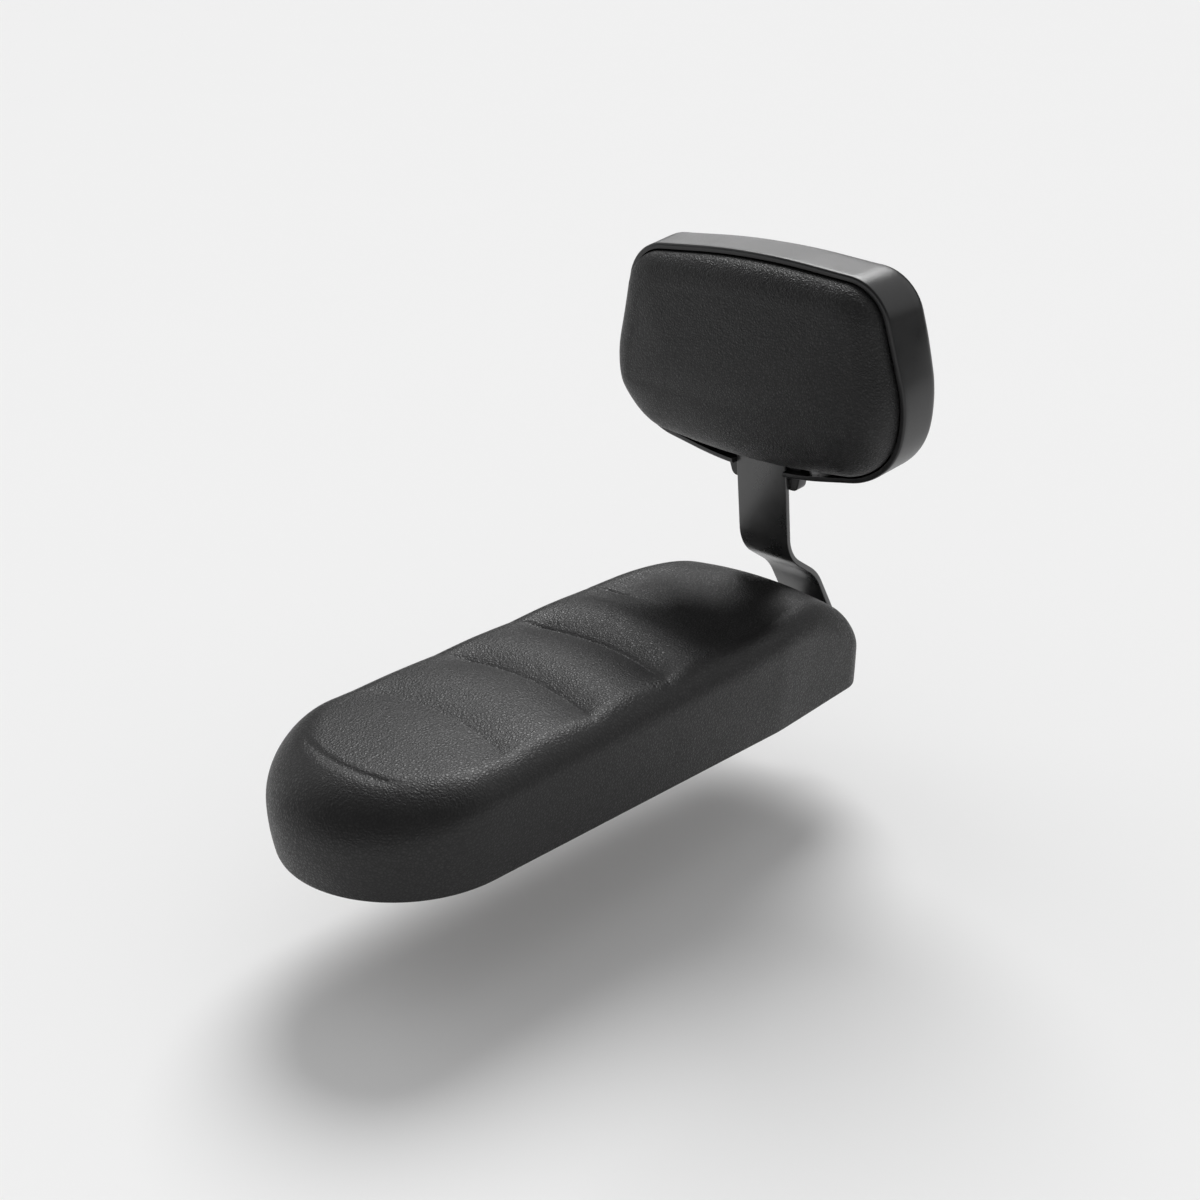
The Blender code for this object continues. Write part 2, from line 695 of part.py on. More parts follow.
def make_backrest_foam(material, frame):
    """Foam between the upholstery and the board, a little smaller than the upholstery's inside."""
    outline = backrest_outline(BACKREST_STEP)
    foot = PAD_BOARD_REAR - PAD_BOARD_T - GAP
    rings = pad_rings(outline, PAD_BOARD_GROW - 0.0005, foot, 0.0068, 3, 3)
    return loft("backrest_foam", rings, material, frame)


def make_pad_board(material, frame):
    """Plywood board behind the foam, with blind holes for its four screws."""
    outline = backrest_outline(0.018)
    rings = [backrest_ring(outline, PAD_BOARD_GROW, PAD_BOARD_REAR - PAD_BOARD_T)]
    rings.append(backrest_ring(outline, PAD_BOARD_GROW, PAD_BOARD_REAR))
    board = loft("backrest_board", rings, material, frame)
    end = PAD_BOARD_REAR - 0.0042
    blind = [(0.0, end), (SCREW_HOLE_R, end), (SCREW_HOLE_R, THROUGH), (0.0, THROUGH)]
    for i, (x, z) in enumerate(SCREWS_XZ):
        combine(board, drill(f"cut_pad_board_{i}", x, z, blind, material, frame))
    return board


def make_clamp_plate(material, frame):
    """Tapped steel plate in front of the bar, which the backrest's bolts pull against it."""
    low = (-0.019, -0.0033, BACKREST_BOLTS_Z[0] - 0.012)
    high = (0.019, -GAP, BACKREST_BOLTS_Z[1] + 0.012)
    plate = box("clamp_plate", low, high, material, frame)
    for i, z in enumerate(BACKREST_BOLTS_Z):
        combine(plate, drill(f"cut_clamp_plate_{i}", 0.0, z, hole(THREAD_HOLE_R), material, frame))
    return plate


def make_backrest_fasteners(steel, screw_steel, frame):
    """Two bolts with washers in the pocket, and four long screws that hold the pad's board."""
    floor = TOWER_FRONT + TOWER_FLOOR_T
    head = floor + WASHER_T + 2 * GAP
    for i, z in enumerate(BACKREST_BOLTS_Z):
        turn = Matrix.Translation((0.0, head, z)) @ Matrix.Rotation(math.pi / 2, 4, "X")
        make_bolt(f"backrest_bolt_{i + 1}", head + 0.0030, turn, steel, frame)
        make_washer(f"backrest_washer_{i + 1}", GAP, turn, steel, frame)
    tip = PAD_BOARD_REAR - 0.0038
    seat = COUNTERBORE_START + GAP
    top = seat + 0.0027
    profile = [(0.0, tip), (0.0020, tip + 0.002), (0.0020, seat), (0.0040, seat)]
    profile += [(0.0040, seat + 0.0015), (0.0026, top), (0.0, top)]
    socket = [(0.0, top - 0.0014), (0.0014, top - 0.0014), (0.0014, top + 0.002), (0.0, top + 0.002)]
    for i, (x, z) in enumerate(SCREWS_XZ):
        screw = drill(f"board_screw_{i + 1}", x, z, profile, screw_steel, frame)
        combine(screw, drill(f"cut_board_screw_{i + 1}", x, z, socket, screw_steel, frame, segments=6))


def main():
    clear_scene()
    seat_leather = make_material("seat_leather", (0.022, 0.021, 0.022), 0.55)
    pad_leather = make_material("pad_leather", (0.020, 0.020, 0.021), 0.5)
    foam = make_material("foam", (0.55, 0.53, 0.46), 0.9)
    plywood = make_material("plywood", (0.48, 0.33, 0.19), 0.7)
    shell_plastic = make_material("shell_plastic", (0.03, 0.03, 0.032), 0.45)
    bar_paint = make_material("bar_paint", (0.018, 0.018, 0.019), 0.4, 0.3)
    zinc_steel = make_material("zinc_steel", (0.62, 0.62, 0.60), 0.35, 1.0)
    black_steel = make_material("black_steel", (0.05, 0.05, 0.052), 0.4, 0.8)

    make_seat_skin(seat_leather)
    make_seat_foam(foam)
    make_base_board(plywood)
    make_rack_tnuts(zinc_steel)
    make_tapping_plate(zinc_steel)
    make_bar_fasteners(black_steel)
    make_bar(bar_paint)

    frame = make_backrest_frame()
    make_backrest_shell(shell_plastic, frame)
    make_backrest_skin(pad_leather, frame)
    make_backrest_foam(foam, frame)
    make_pad_board(plywood, frame)
    make_clamp_plate(zinc_steel, frame)
    make_backrest_fasteners(black_steel, zinc_steel, frame)


main()
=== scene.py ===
"""Looks of a cycle's passenger seat with a small backrest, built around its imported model.

The frame gives every place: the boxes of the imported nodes, and the axis that the backrest slides along.
Lengths are in metres, +Z is up and the passenger faces -Y.
"""

import json
import math

import bmesh
import bpy
import numpy as np
from mathutils import Matrix, Vector


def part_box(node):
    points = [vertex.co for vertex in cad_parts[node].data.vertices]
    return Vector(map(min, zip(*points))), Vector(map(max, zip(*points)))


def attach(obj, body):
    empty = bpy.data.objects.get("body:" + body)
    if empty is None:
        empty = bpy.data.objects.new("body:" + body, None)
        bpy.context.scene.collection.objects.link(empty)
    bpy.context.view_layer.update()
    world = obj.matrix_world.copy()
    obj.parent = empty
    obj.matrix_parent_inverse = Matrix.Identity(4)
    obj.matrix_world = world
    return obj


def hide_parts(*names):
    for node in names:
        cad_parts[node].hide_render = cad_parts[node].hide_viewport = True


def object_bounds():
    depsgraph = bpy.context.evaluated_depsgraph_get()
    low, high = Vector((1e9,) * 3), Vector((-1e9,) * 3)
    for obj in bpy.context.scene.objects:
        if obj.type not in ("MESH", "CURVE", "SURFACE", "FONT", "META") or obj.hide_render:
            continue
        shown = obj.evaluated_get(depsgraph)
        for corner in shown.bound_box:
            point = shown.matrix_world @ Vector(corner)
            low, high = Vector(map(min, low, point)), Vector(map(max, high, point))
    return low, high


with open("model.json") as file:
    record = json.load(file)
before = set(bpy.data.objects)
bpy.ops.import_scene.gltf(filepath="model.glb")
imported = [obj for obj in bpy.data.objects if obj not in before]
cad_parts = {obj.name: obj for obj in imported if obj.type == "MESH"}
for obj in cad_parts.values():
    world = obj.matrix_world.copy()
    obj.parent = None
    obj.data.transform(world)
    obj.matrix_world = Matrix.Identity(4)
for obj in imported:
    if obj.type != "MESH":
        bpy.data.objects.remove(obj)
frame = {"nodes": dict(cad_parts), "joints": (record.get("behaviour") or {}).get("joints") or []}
CAD_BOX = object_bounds()

# Clearance between pieces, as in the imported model, and how far a cutter runs past a wall.
GAP = 0.0003
THROUGH = 0.03

# The seat's shell: its length and width come from the box of its packed skin.
SEAT_LOW, SEAT_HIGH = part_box("seat_skin")
WALL_BULGE = 0.0035
TAIL_BULGE = 0.0005
SEAT_HALF = SEAT_HIGH.x - WALL_BULGE
SEAT_FRONT = SEAT_LOW.y + WALL_BULGE
SEAT_REAR = SEAT_HIGH.y - TAIL_BULGE
SPINE_FRONT = SEAT_FRONT + SEAT_HALF
SPINE_REAR = 0.190
TAIL_START = 0.117
TAIL_CORNER = (0.0705, SEAT_REAR - 0.002, 0.026)
SHOULDER_FRONT_Z = 0.0672
SHOULDER_RISE = 0.042
SHOULDER_R = 0.020
NOSE_R = 0.037
TAIL_FALL_START = 0.125
TAIL_FALL = 4.2
TAIL_CROWN = 0.0075
SKIN_T = 0.0022
CORE_GAP = 0.0006

# The seat's creases: place on the centre line, the fall's depth and length in front of each, and the share
# of the depth that a steep lip makes up behind it. The nose and the dish have a smaller crease each.
CREASES = ((-0.1160, 0.0026, 0.038, 0.0), (-0.0460, 0.0056, 0.042, 0.03), (0.0230, 0.0070, 0.044, 0.06))
LIP_LENGTH = 0.0030
RISE_LENGTH = 0.0320
CREASE_BOW = 2.5
CREASE_FADE = (0.046, 0.084)
PILLOW_RISE = 0.0008
NOSE_CREASE_Y = -0.1990
NOSE_CREASE_BOW = 4.5
NOSE_FADE = (0.030, 0.048)
NOSE_CREASE_DEPTH = 0.0014
NOSE_TUCK_LENGTH = 0.009
NOSE_RISE_LENGTH = 0.0045
EVEN_LIP = 0.5
DISH_Y = 0.0980
DISH_START = 0.0560
DISH_FLAT_END = 0.1300
DISH_END = 0.1850
DISH_DEPTH = 0.0046
DISH_CREASE_DEPTH = 0.0012
DISH_TUCK_LENGTH = 0.010

# The bar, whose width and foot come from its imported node, and the channel it lies in.
CHANNEL_TOP = 0.0105
CHANNEL_ROOM = 0.0012
BAR_LOW, BAR_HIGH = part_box("backrest_bar")
BAR_HALF = BAR_HIGH.x
BAR_T = 0.004
BAR_EASE = 0.0009
BAR_EASE_STEPS = 5
# Y, Z and radius of each bend, from the leg up to the upright. The first lies level with the leg.
BAR_BENDS = ((0.2490, None, 0.012), (0.2490, 0.0322, 0.020), (0.2270, 0.0688, 0.040), (0.1922, 0.0914, 0.032))
SLOT_R = 0.0033
REACH, HEIGHT = (
    next(joint for joint in frame["joints"] if joint["name"] == name) for name in ("reach_slide", "height_slide")
)

# The backrest leans with its slide. Its own axes are X, rearward and up along the bar.
BACK_UP = Vector(HEIGHT["axis"]).normalized()
BACK_REAR = Vector((1.0, 0.0, 0.0)).cross(-BACK_UP)
CLAMP_FOOT = 0.018
BAR_TOP = 0.110
RIM_FRONT = -0.004
SHELL_REAR = 0.035
RIM_WIDTH = 0.0038
RIM_EASE = 0.0016
RIM_HANG = 0.0060
SIDE_FLARE = 0.0035
WALL_T = 0.003
TOWER_FRONT = 0.0036
TOWER_FLOOR_T = 0.004
TOWER_TOP = 0.094
TOWER_LOW = -0.021
TOWER_X = 0.0360
TOWER_LOW_X = 0.0295
TAB_T = 0.010
OUTLINE_STEP = 0.0022
PAD_GAP = 0.0012
PAD_SKIN_T = 0.0015
PAD_REAR = -0.0033
PAD_EDGE_R = 0.024
PAD_LOWER_EDGE_R = 0.046
PAD_DOME = 0.0030
PAD_FULL = 0.0135
PAD_FULLER_BELOW = 0.007
PAD_CROWN = 0.0045
PAD_SPINE_HALF = 0.055
PAD_SPINE_Z = 0.074
PAD_COVERED = 0.85
SCREWS_XZ = ((-0.080, 0.041), (0.080, 0.041), (-0.070, 0.112), (0.070, 0.112))
BACK_BOLTS_Z = (0.030, 0.070)
PAD_CORNERS = (
    (0.0, -0.002, 0.60),
    (0.112, 0.009, 0.045),
    (0.1245, 0.060, 0.080),
    (0.104, 0.1395, 0.032),
    (0.0, 0.148, 0.60),
    (-0.104, 0.1395, 0.032),
    (-0.1245, 0.060, 0.080),
    (-0.112, 0.009, 0.045),
)

# Floor, surroundings and camera. The camera sees the surroundings as bright as the floor.
FLOOR_Z = -0.085
WORLD_STRENGTH = 0.45
SKY_EXTRA = 0.41
CAMERA_AZIMUTH = 44.19
CAMERA_ELEVATION = 22.51
CAMERA_DISTANCE = 1.0734
CAMERA_RIGHT = 0.0075
CAMERA_UP = -0.0472


def smoothstep(low, high, value):
    share = np.clip((value - low) / (high - low), 0.0, 1.0)
    return share * share * (3.0 - 2.0 * share)


def node_points(node):
    return np.array([vert.co for vert in frame["nodes"][node].data.vertices])


def backrest_matrix():
    """Takes X, depth and height in the backrest to the world, from the plate that clamps it to the bar."""
    points = node_points("clamp_plate")
    depth = (points @ np.array(BACK_REAR)).max() + GAP
    height = (points @ np.array(BACK_UP)).min() - CLAMP_FOOT
    turn = Matrix(((1.0, 0.0, 0.0), BACK_REAR, BACK_UP)).transposed().to_4x4()
    return Matrix.Translation(BACK_REAR * depth + BACK_UP * height) @ turn


BACK = backrest_matrix()
FORWARD = Matrix.Rotation(math.pi / 2, 4, "X")


def back_box(node):
    """Lowest and highest X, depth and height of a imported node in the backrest."""
    places = [BACK.inverted() @ Vector(point) for point in node_points(node)]
    return np.min(places, axis=0), np.max(places, axis=0)


# Outlines ------------------------------------------------------------------------------------------------


def corner_arc(before, corner, after, radius, step):
    """Points of the arc that rounds one corner of an outline."""
    to_before = (before - corner).normalized()
    to_after = (after - corner).normalized()
    half = to_before.angle(to_after) / 2
    centre = corner + (to_before + to_after).normalized() * radius / math.sin(half)
    start = corner + to_before * radius / math.tan(half) - centre
    sweep = math.pi - 2 * half
    turn = 1 if (corner - before).cross(after - corner) > 0 else -1
    count = max(2, math.ceil(radius * sweep / step))
    return [centre + Matrix.Rotation(turn * sweep * i / count, 2) @ start for i in range(count + 1)]


def rounded_outline(corners, step):
    """A closed outline from (x, y, radius) corners, with its straight stretches divided too."""
    places = [Vector(corner[:2]) for corner in corners]
    points = []
    for i, corner in enumerate(corners):
        points += corner_arc(places[i - 1], places[i], places[(i + 1) % len(places)], corner[2], step)
    outline = []
    for point, after in zip(points, points[1:] + points[:1]):
        length = (after - point).length
        if length > 1e-6:
            count = max(1, round(length / step))
            outline += [point.lerp(after, i / count) for i in range(count)]
    return np.array(outline)


def outline_normals(outline):
    """The outward normal at each point of a counterclockwise outline."""
    along = np.roll(outline, -1, 0) - np.roll(outline, 1, 0)
    normals = np.stack([along[:, 1], -along[:, 0]], 1)
    return normals / np.linalg.norm(normals, axis=1, keepdims=True)


def seat_outline(spacing):
    """The seat's outline at its underside, both halves alike. spacing gives the step for a place along Y."""
    fine = rounded_outline(
        [
            (-SEAT_HALF, SEAT_FRONT, SEAT_HALF),
            (SEAT_HALF, SEAT_FRONT, SEAT_HALF),
            (SEAT_HALF, TAIL_START, 0.15),
            TAIL_CORNER,
            (0.0, SEAT_REAR, 0.30),
            (-TAIL_CORNER[0], *TAIL_CORNER[1:]),
            (-SEAT_HALF, TAIL_START, 0.15),
        ],
        0.0004,
    )
    right = fine[fine[:, 0] > 1e-5]
    right = right[np.argsort(np.unwrap(np.arctan2(right[:, 0], -right[:, 1])))]
    right = np.vstack([(0.0, SEAT_FRONT), right, (0.0, fine[:, 1].max())])
    lengths = np.linalg.norm(np.diff(right, axis=0), axis=1)
    steps = np.concatenate([[0.0], np.cumsum(lengths / spacing((right[1:, 1] + right[:-1, 1]) / 2))])
    wanted = np.linspace(0.0, steps[-1], math.ceil(steps[-1]) + 1)
    half = np.stack([np.interp(wanted, steps, right[:, axis]) for axis in (0, 1)], 1)
    return np.vstack([half, half[-2:0:-1] * (-1.0, 1.0)])


# Meshes --------------------------------------------------------------------------------------------------


def finish_mesh(obj, material, smooth_angle=35.0):
    mesh = obj.data
    mesh.materials.clear()
    mesh.materials.append(material)
    mesh.shade_smooth()
    mesh.set_sharp_from_angle(angle=math.radians(smooth_angle))
    return obj


def new_object(name, bm, material):
    bmesh.ops.remove_doubles(bm, verts=bm.verts[:], dist=2e-6)
    bmesh.ops.dissolve_degenerate(bm, edges=bm.edges[:], dist=1e-7)
    bmesh.ops.recalc_face_normals(bm, faces=bm.faces[:])
    mesh = bpy.data.meshes.new(name)
    bm.to_mesh(mesh)
    bm.free()
    obj = bpy.data.objects.new(name, mesh)
    bpy.context.scene.collection.objects.link(obj)
    return finish_mesh(obj, material)


def loft(name, rings, material, place=None):
    """One closed skin through rings of equal count, capped where its ends neither meet nor fold flat."""
    matrix = place or Matrix()
    bm = bmesh.new()
    rows = [[bm.verts.new(matrix @ Vector(point)) for point in ring] for ring in rings]
    for lower, upper in zip(rows, rows[1:]):
        for i in range(len(lower)):
            j = (i + 1) % len(lower)
            bm.faces.new((lower[i], lower[j], upper[j], upper[i]))
    is_tube = np.abs(np.array(rings[0]) - np.array(rings[-1])).max() < 1e-9
    for end in () if is_tube else (0, -1):
        if not is_folded(rings[end]):
            cap = bm.faces.new(rows[end])
            bmesh.ops.triangulate(bm, faces=[cap])
    return new_object(name, bm, material)


def is_folded(ring):
    """True for a ring squeezed flat onto a spine or a point, which needs no cap."""
    points = np.array(ring)
    area = np.cross(np.roll(points, 1, 0), points).sum(0)
    return np.linalg.norm(area) < 1e-7


def turned(name, profile, material, place=None, segments=48):
    """A turned piece about its Z: profile holds (radius, height) pairs that end on the axis or form a ring."""
    angles = np.arange(segments) * 2 * math.pi / segments
    rings = [
        np.stack([radius * np.cos(angles), radius * np.sin(angles), np.full(segments, height)], 1)
        for radius, height in profile
    ]
    return loft(name, rings, material, place)


def prism(name, outline, profile, material, place=None):
    """An outline extruded along its normal: profile holds (growth, height) pairs."""
    normals = outline_normals(outline)
    rings = [np.column_stack([outline + normals * grow, np.full(len(outline), height)]) for grow, height in profile]
    return loft(name, rings, material, place)


def box(name, low, high, material, place=None):
    (x0, y0, z0), (x1, y1, z1) = low, high
    plan = [(x0, y0), (x1, y0), (x1, y1), (x0, y1)]
    return loft(name, [[(x, y, z) for x, y in plan] for z in (z0, z1)], material, place)


def combine(target, tools, operation="DIFFERENCE"):
    """Applies exact Booleans with each tool in turn and removes the tools."""
    for tool in tools:
        modifier = target.modifiers.new(tool.name, "BOOLEAN")
        modifier.object = tool
        modifier.operation = operation
        modifier.solver = "EXACT"
    graph = bpy.context.evaluated_depsgraph_get()
    mesh = bpy.data.meshes.new_from_object(target.evaluated_get(graph))
    bm = bmesh.new()
    bm.from_mesh(mesh)
    bmesh.ops.remove_doubles(bm, verts=bm.verts[:], dist=2e-6)
    bmesh.ops.dissolve_degenerate(bm, edges=bm.edges[:], dist=2e-6)
    bm.to_mesh(mesh)
    bm.free()
    target.modifiers.clear()
    target.data = mesh
    for tool in tools:
        bpy.data.objects.remove(tool)


# Seat ----------------------------------------------------------------------------------------------------


def plain_height(x, y):
    """The pad's top without its pillows: it rises to the rear, then falls over the tail."""
    rise = SHOULDER_FRONT_Z + SHOULDER_RISE * (y - SPINE_FRONT)
    fall = TAIL_FALL * np.maximum(y - TAIL_FALL_START, 0.0) ** 2
    crown = 0.002 + TAIL_CROWN * smoothstep(0.130, 0.200, y)
    return rise - fall + crown * (1.0 - (x / SEAT_HALF) ** 2)


def tuck(ahead, depth, length, lip_share, rise=RISE_LENGTH):
    """Drop near a crease: a growing fall in front of it, then a small steep lip and a gentler rise behind.

    ahead is how far a point lies in front of the crease, and is negative behind it.
    """
    front = np.clip(1.0 - ahead / length, 0.0, 1.0) ** 2
    lip = lip_share * (1.0 - smoothstep(0.0, LIP_LENGTH, -ahead))
    slope = (1.0 - lip_share) * np.clip(1.0 + ahead / rise, 0.0, 1.0) ** 2
    return -depth * np.where(ahead > 0, front, lip + slope)


def seat_height(x, y):
    """The pad's top with its row of pillows and the dish behind them."""
    fade = 1.0 - smoothstep(*CREASE_FADE, np.abs(x))
    relief = PILLOW_RISE * fade * (1.0 - smoothstep(DISH_START, DISH_START + 0.02, y))
    for place, *shape in CREASES:
        relief = relief + fade * tuck(place - CREASE_BOW * x**2 - y, *shape)
    nose = NOSE_CREASE_Y + NOSE_CREASE_BOW * x**2 - y
    nose_fade = 1.0 - smoothstep(*NOSE_FADE, np.abs(x))
    relief = relief + nose_fade * tuck(nose, NOSE_CREASE_DEPTH, NOSE_TUCK_LENGTH, EVEN_LIP, NOSE_RISE_LENGTH)
    bowed = y + CREASE_BOW * x**2
    dish = smoothstep(DISH_START, DISH_Y, bowed) * (1.0 - smoothstep(DISH_FLAT_END, DISH_END, bowed))
    relief = relief - DISH_DEPTH * fade * dish
    far = smoothstep(0.020, 0.050, -x) * fade
    relief = relief + far * tuck(DISH_Y - bowed, DISH_CREASE_DEPTH, DISH_TUCK_LENGTH, EVEN_LIP, NOSE_RISE_LENGTH)
    return plain_height(x, y) + relief


def row_step(y):
    """Distance between the mesh's rows, which are close together at each crease."""
    bowed = y + CREASE_BOW * SEAT_HALF**2
    places = [crease[0] for crease in CREASES] + [DISH_Y]
    nearest = np.min([np.abs(bowed - place) for place in places], axis=0)
    return 0.0004 + 0.0020 * smoothstep(0.001, 0.008, nearest)


def seat_rings(outline, inset, wall_shares, shoulder_steps, top_shares):
    """Rings from the wall's foot up over the shoulder to the spine, inset evenly from the outer surface.

    The rows across the top bow with the creases, so that each crease runs along one row.
    """
    normals = outline_normals(outline)
    bulge = WALL_BULGE + (TAIL_BULGE - WALL_BULGE) * smoothstep(0.06, 0.18, outline[:, 1])
    nose = smoothstep(SPINE_FRONT, SEAT_FRONT, outline[:, 1])
    radius = SHOULDER_R + (NOSE_R - SHOULDER_R) * nose - inset
    edge = outline + normals * (bulge - inset)[:, None]
    bowed = outline[:, 1] + CREASE_BOW * outline[:, 0] ** 2
    spine = np.clip(bowed, SPINE_FRONT + CREASE_BOW * SEAT_HALF**2, SPINE_REAR)

    def across(share):
        left = 1.0 - share
        return np.stack([edge[:, 0] * left, spine - (spine - edge[:, 1]) * left**2], 1)

    fine = np.linspace(0.0, 1.0, 400)
    inward = np.array([((edge - across(share)) * normals).sum(1) for share in fine])
    inward = np.maximum.accumulate(inward, axis=0)

    def share_at(reach):
        return np.array([np.interp(reach[i], inward[:, i], fine) for i in range(len(reach))])

    shoulder_end = share_at(radius)
    end_place = across(shoulder_end)
    foot_top = seat_height(edge[:, 0], edge[:, 1]) - inset - radius
    rings = []
    for share in wall_shares:
        spot = outline + normals * (bulge * (1 - (1 - share) ** 2) - inset)[:, None]
        rings.append(np.column_stack([spot, foot_top * share]))
    for step in range(1, shoulder_steps + 1):
        share = step / shoulder_steps
        angle = math.pi / 2 * share * (1.35 - 0.35 * share)
        spot = across(share_at(radius * (1 - math.cos(angle))))
        top = seat_height(spot[:, 0], spot[:, 1]) - inset
        rings.append(np.column_stack([spot, top - radius * (1 - math.sin(angle))]))
    for past in top_shares:
        spot = across(shoulder_end + (1.0 - shoulder_end) * past)
        rings.append(np.column_stack([spot, seat_height(spot[:, 0], spot[:, 1]) - inset]))
    return rings


def make_seat_upholstery(material):
    """Grained skin over the foam, with a rolled lower rim and a notch that the bar passes through."""
    outline = seat_outline(row_step)
    walls = np.linspace(0.0, 1.0, 15)
    outer = seat_rings(outline, 0.0, walls, 30, np.linspace(0.0, 1.0, 44)[1:])
    inner = seat_rings(outline, SKIN_T, walls[::4], 4, np.linspace(0.0, 1.0, 8)[1:])
    normals = outline_normals(outline)
    rim = []
    for i in range(1, 8):
        angle = math.pi * i / 8
        grow = -SKIN_T / 2 * (1 + math.cos(angle))
        rim.append(np.column_stack([outline + normals * grow, np.full(len(outline), 0.0)]))
        rim[-1][:, 2] = SKIN_T / 2 * (1 - math.sin(angle))
    for ring in (inner[0], outer[0]):
        ring[:, 2] = SKIN_T / 2
    skin = loft("seat_upholstery", inner[::-1] + rim + outer, material)
    low = (-BAR_HALF - CHANNEL_ROOM, SPINE_REAR, -THROUGH)
    high = (BAR_HALF + CHANNEL_ROOM, SEAT_REAR + THROUGH, CHANNEL_TOP + 0.002)
    combine(skin, [box("cut_skin_notch", low, high, material)])
    return finish_mesh(skin, material, 50.0)


def make_seat_core(material):
    """Foam between the skin and the board, hollowed over the plate that takes the bar's bolts."""
    outline = seat_outline(lambda y: np.full_like(y, 0.006))
    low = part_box("seat_foam")[0].z
    rings = seat_rings(outline, SKIN_T + CORE_GAP, np.linspace(0.0, 1.0, 4), 6, np.linspace(0.0, 1.0, 14)[1:])
    rings = [rings[0]] + [ring for ring in rings if ring[:, 2].min() > low + 0.001]
    rings[0][:, 2] = low
    core = loft("seat_core", rings, material)
    plate_low, plate_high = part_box("tapping_plate")
    room = Vector((0.0005, 0.0005, 0.0010))
    combine(core, [box("cut_core", plate_low - room - Vector((0.0, 0.0, 0.004)), plate_high + room, material)])
    return finish_mesh(core, material, 50.0)


# Bar -----------------------------------------------------------------------------------------------------


def slot_outline(low, high, radius, count=16):
    """A straight slot along the second axis, with round ends centred on low and high."""
    points = []
    for centre, start in ((high, 0.0), (low, math.pi)):
        for i in range(count + 1):
            angle = start + math.pi * i / count
            points.append((radius * math.cos(angle), centre + radius * math.sin(angle)))
    return np.array(points)


def slot_profile(low, high, chamfer):
    """A cutter's (growth, height) pairs, opening out at both faces of the wall from low to high."""
    return (
        (chamfer + 0.01, low - 0.01),
        (0.0, low + chamfer),
        (0.0, high - chamfer),
        (chamfer + 0.01, high + 0.01),
    )


def bar_path():
    """Y and Z along the bar's upper and front face: leg, rear bend, shoulder, upright."""
    leg_z = CHANNEL_TOP - GAP
    foot = BACK @ Vector((0.0, 0.0, BAR_TOP))
    ends = [Vector((BAR_LOW.y, leg_z)), Vector(foot[1:])]
    bends = [(y, leg_z if z is None else z, radius) for y, z, radius in BAR_BENDS]
    corners = [ends[0]] + [Vector(bend[:2]) for bend in bends] + [ends[1]]
    path = [ends[0]]
    for i, bend in enumerate(bends):
        path += corner_arc(corners[i], corners[i + 1], corners[i + 2], bend[2], bend[2] * math.radians(3))
    return path + [ends[1]]


def bar_section():
    """The bar's width and depth, with rounded edges."""
    points = []
    for side_x, side_y, start in ((1, 1, 0.0), (-1, 1, 90.0), (-1, -1, 180.0), (1, -1, 270.0)):
        centre = (side_x * (BAR_HALF - BAR_EASE), BAR_T / 2 + side_y * (BAR_T / 2 - BAR_EASE))
        for i in range(BAR_EASE_STEPS + 1):
            angle = math.radians(start + 90.0 * i / BAR_EASE_STEPS)
            points.append((centre[0] + BAR_EASE * math.cos(angle), centre[1] + BAR_EASE * math.sin(angle)))
    return points


def make_bar(material):
    """Flat bar bent from the leg under the seat up to the backrest, with two slots at each end."""
    path = bar_path()
    section = bar_section()
    rings = []
    for i, point in enumerate(path):
        before, after = path[max(i - 1, 0)], path[min(i + 1, len(path) - 1)]
        along = (after - before).normalized()
        outward = Vector((along.y, -along.x))
        if 0 < i < len(path) - 1:
            outward /= math.cos((point - before).angle(after - point) / 2)
        rings.append([(x, *(point + outward * depth)) for x, depth in section])
    bar = loft("bent_bar", rings, material)
    leg_top = CHANNEL_TOP - GAP
    tools = []
    for name in ("bracket_bolt_1", "bracket_bolt_2"):
        low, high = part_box(name)
        y = (low.y + high.y) / 2
        outline = slot_outline(y - REACH["range_m"][1], y, SLOT_R)
        tools.append(prism("cut_" + name, outline, slot_profile(leg_top - BAR_T, leg_top, 0.0004), material))
    for name in ("backrest_bolt_1", "backrest_bolt_2"):
        low, high = back_box(name)
        z = (low[2] + high[2]) / 2
        outline = slot_outline(z, z + HEIGHT["range_m"][1], SLOT_R)
        tools.append(upright_prism("cut_" + name, outline, slot_profile(0.0, BAR_T, 0.0004), material))
    combine(bar, tools)
    return finish_mesh(bar, material)


# Backrest ------------------------------------------------------------------------------------------------


def backrest_ring(outline, grow, depth, flare=0.0):
    """One ring of the backrest outline at a depth, grown outwards, with its upper sides flared further."""
    normals = outline_normals(outline)
    widen = flare * np.abs(normals[:, 0]) * smoothstep(0.050, 0.110, outline[:, 1])
    spot = outline + normals * (grow + widen)[:, None]
    return np.column_stack([spot[:, 0], np.full(len(spot), depth), spot[:, 1]])


def housing_outline():
    """The pad's outline with its lower edge hanging lower towards the middle, where the tower is."""
    outline = rounded_outline(PAD_CORNERS, OUTLINE_STEP)
    facing_down = smoothstep(0.15, 0.60, -outline_normals(outline)[:, 1])
    outline[:, 1] -= RIM_HANG * facing_down * (1 - smoothstep(0.020, 0.112, np.abs(outline[:, 0])))
    return outline


def arc_pairs(start, end, bulge, count):
    """(growth, depth) pairs along a quarter arc from start to end. bulge is the corner that it rounds."""
    pairs = []
    for i in range(count + 1):
        angle = math.pi / 2 * i / count
        pairs.append(
            tuple(
                bulge[k]
                + (start[k] - bulge[k]) * (1 - math.sin(angle))
                + (end[k] - bulge[k]) * (1 - math.cos(angle))
                for k in (0, 1)
            )
        )
    return pairs


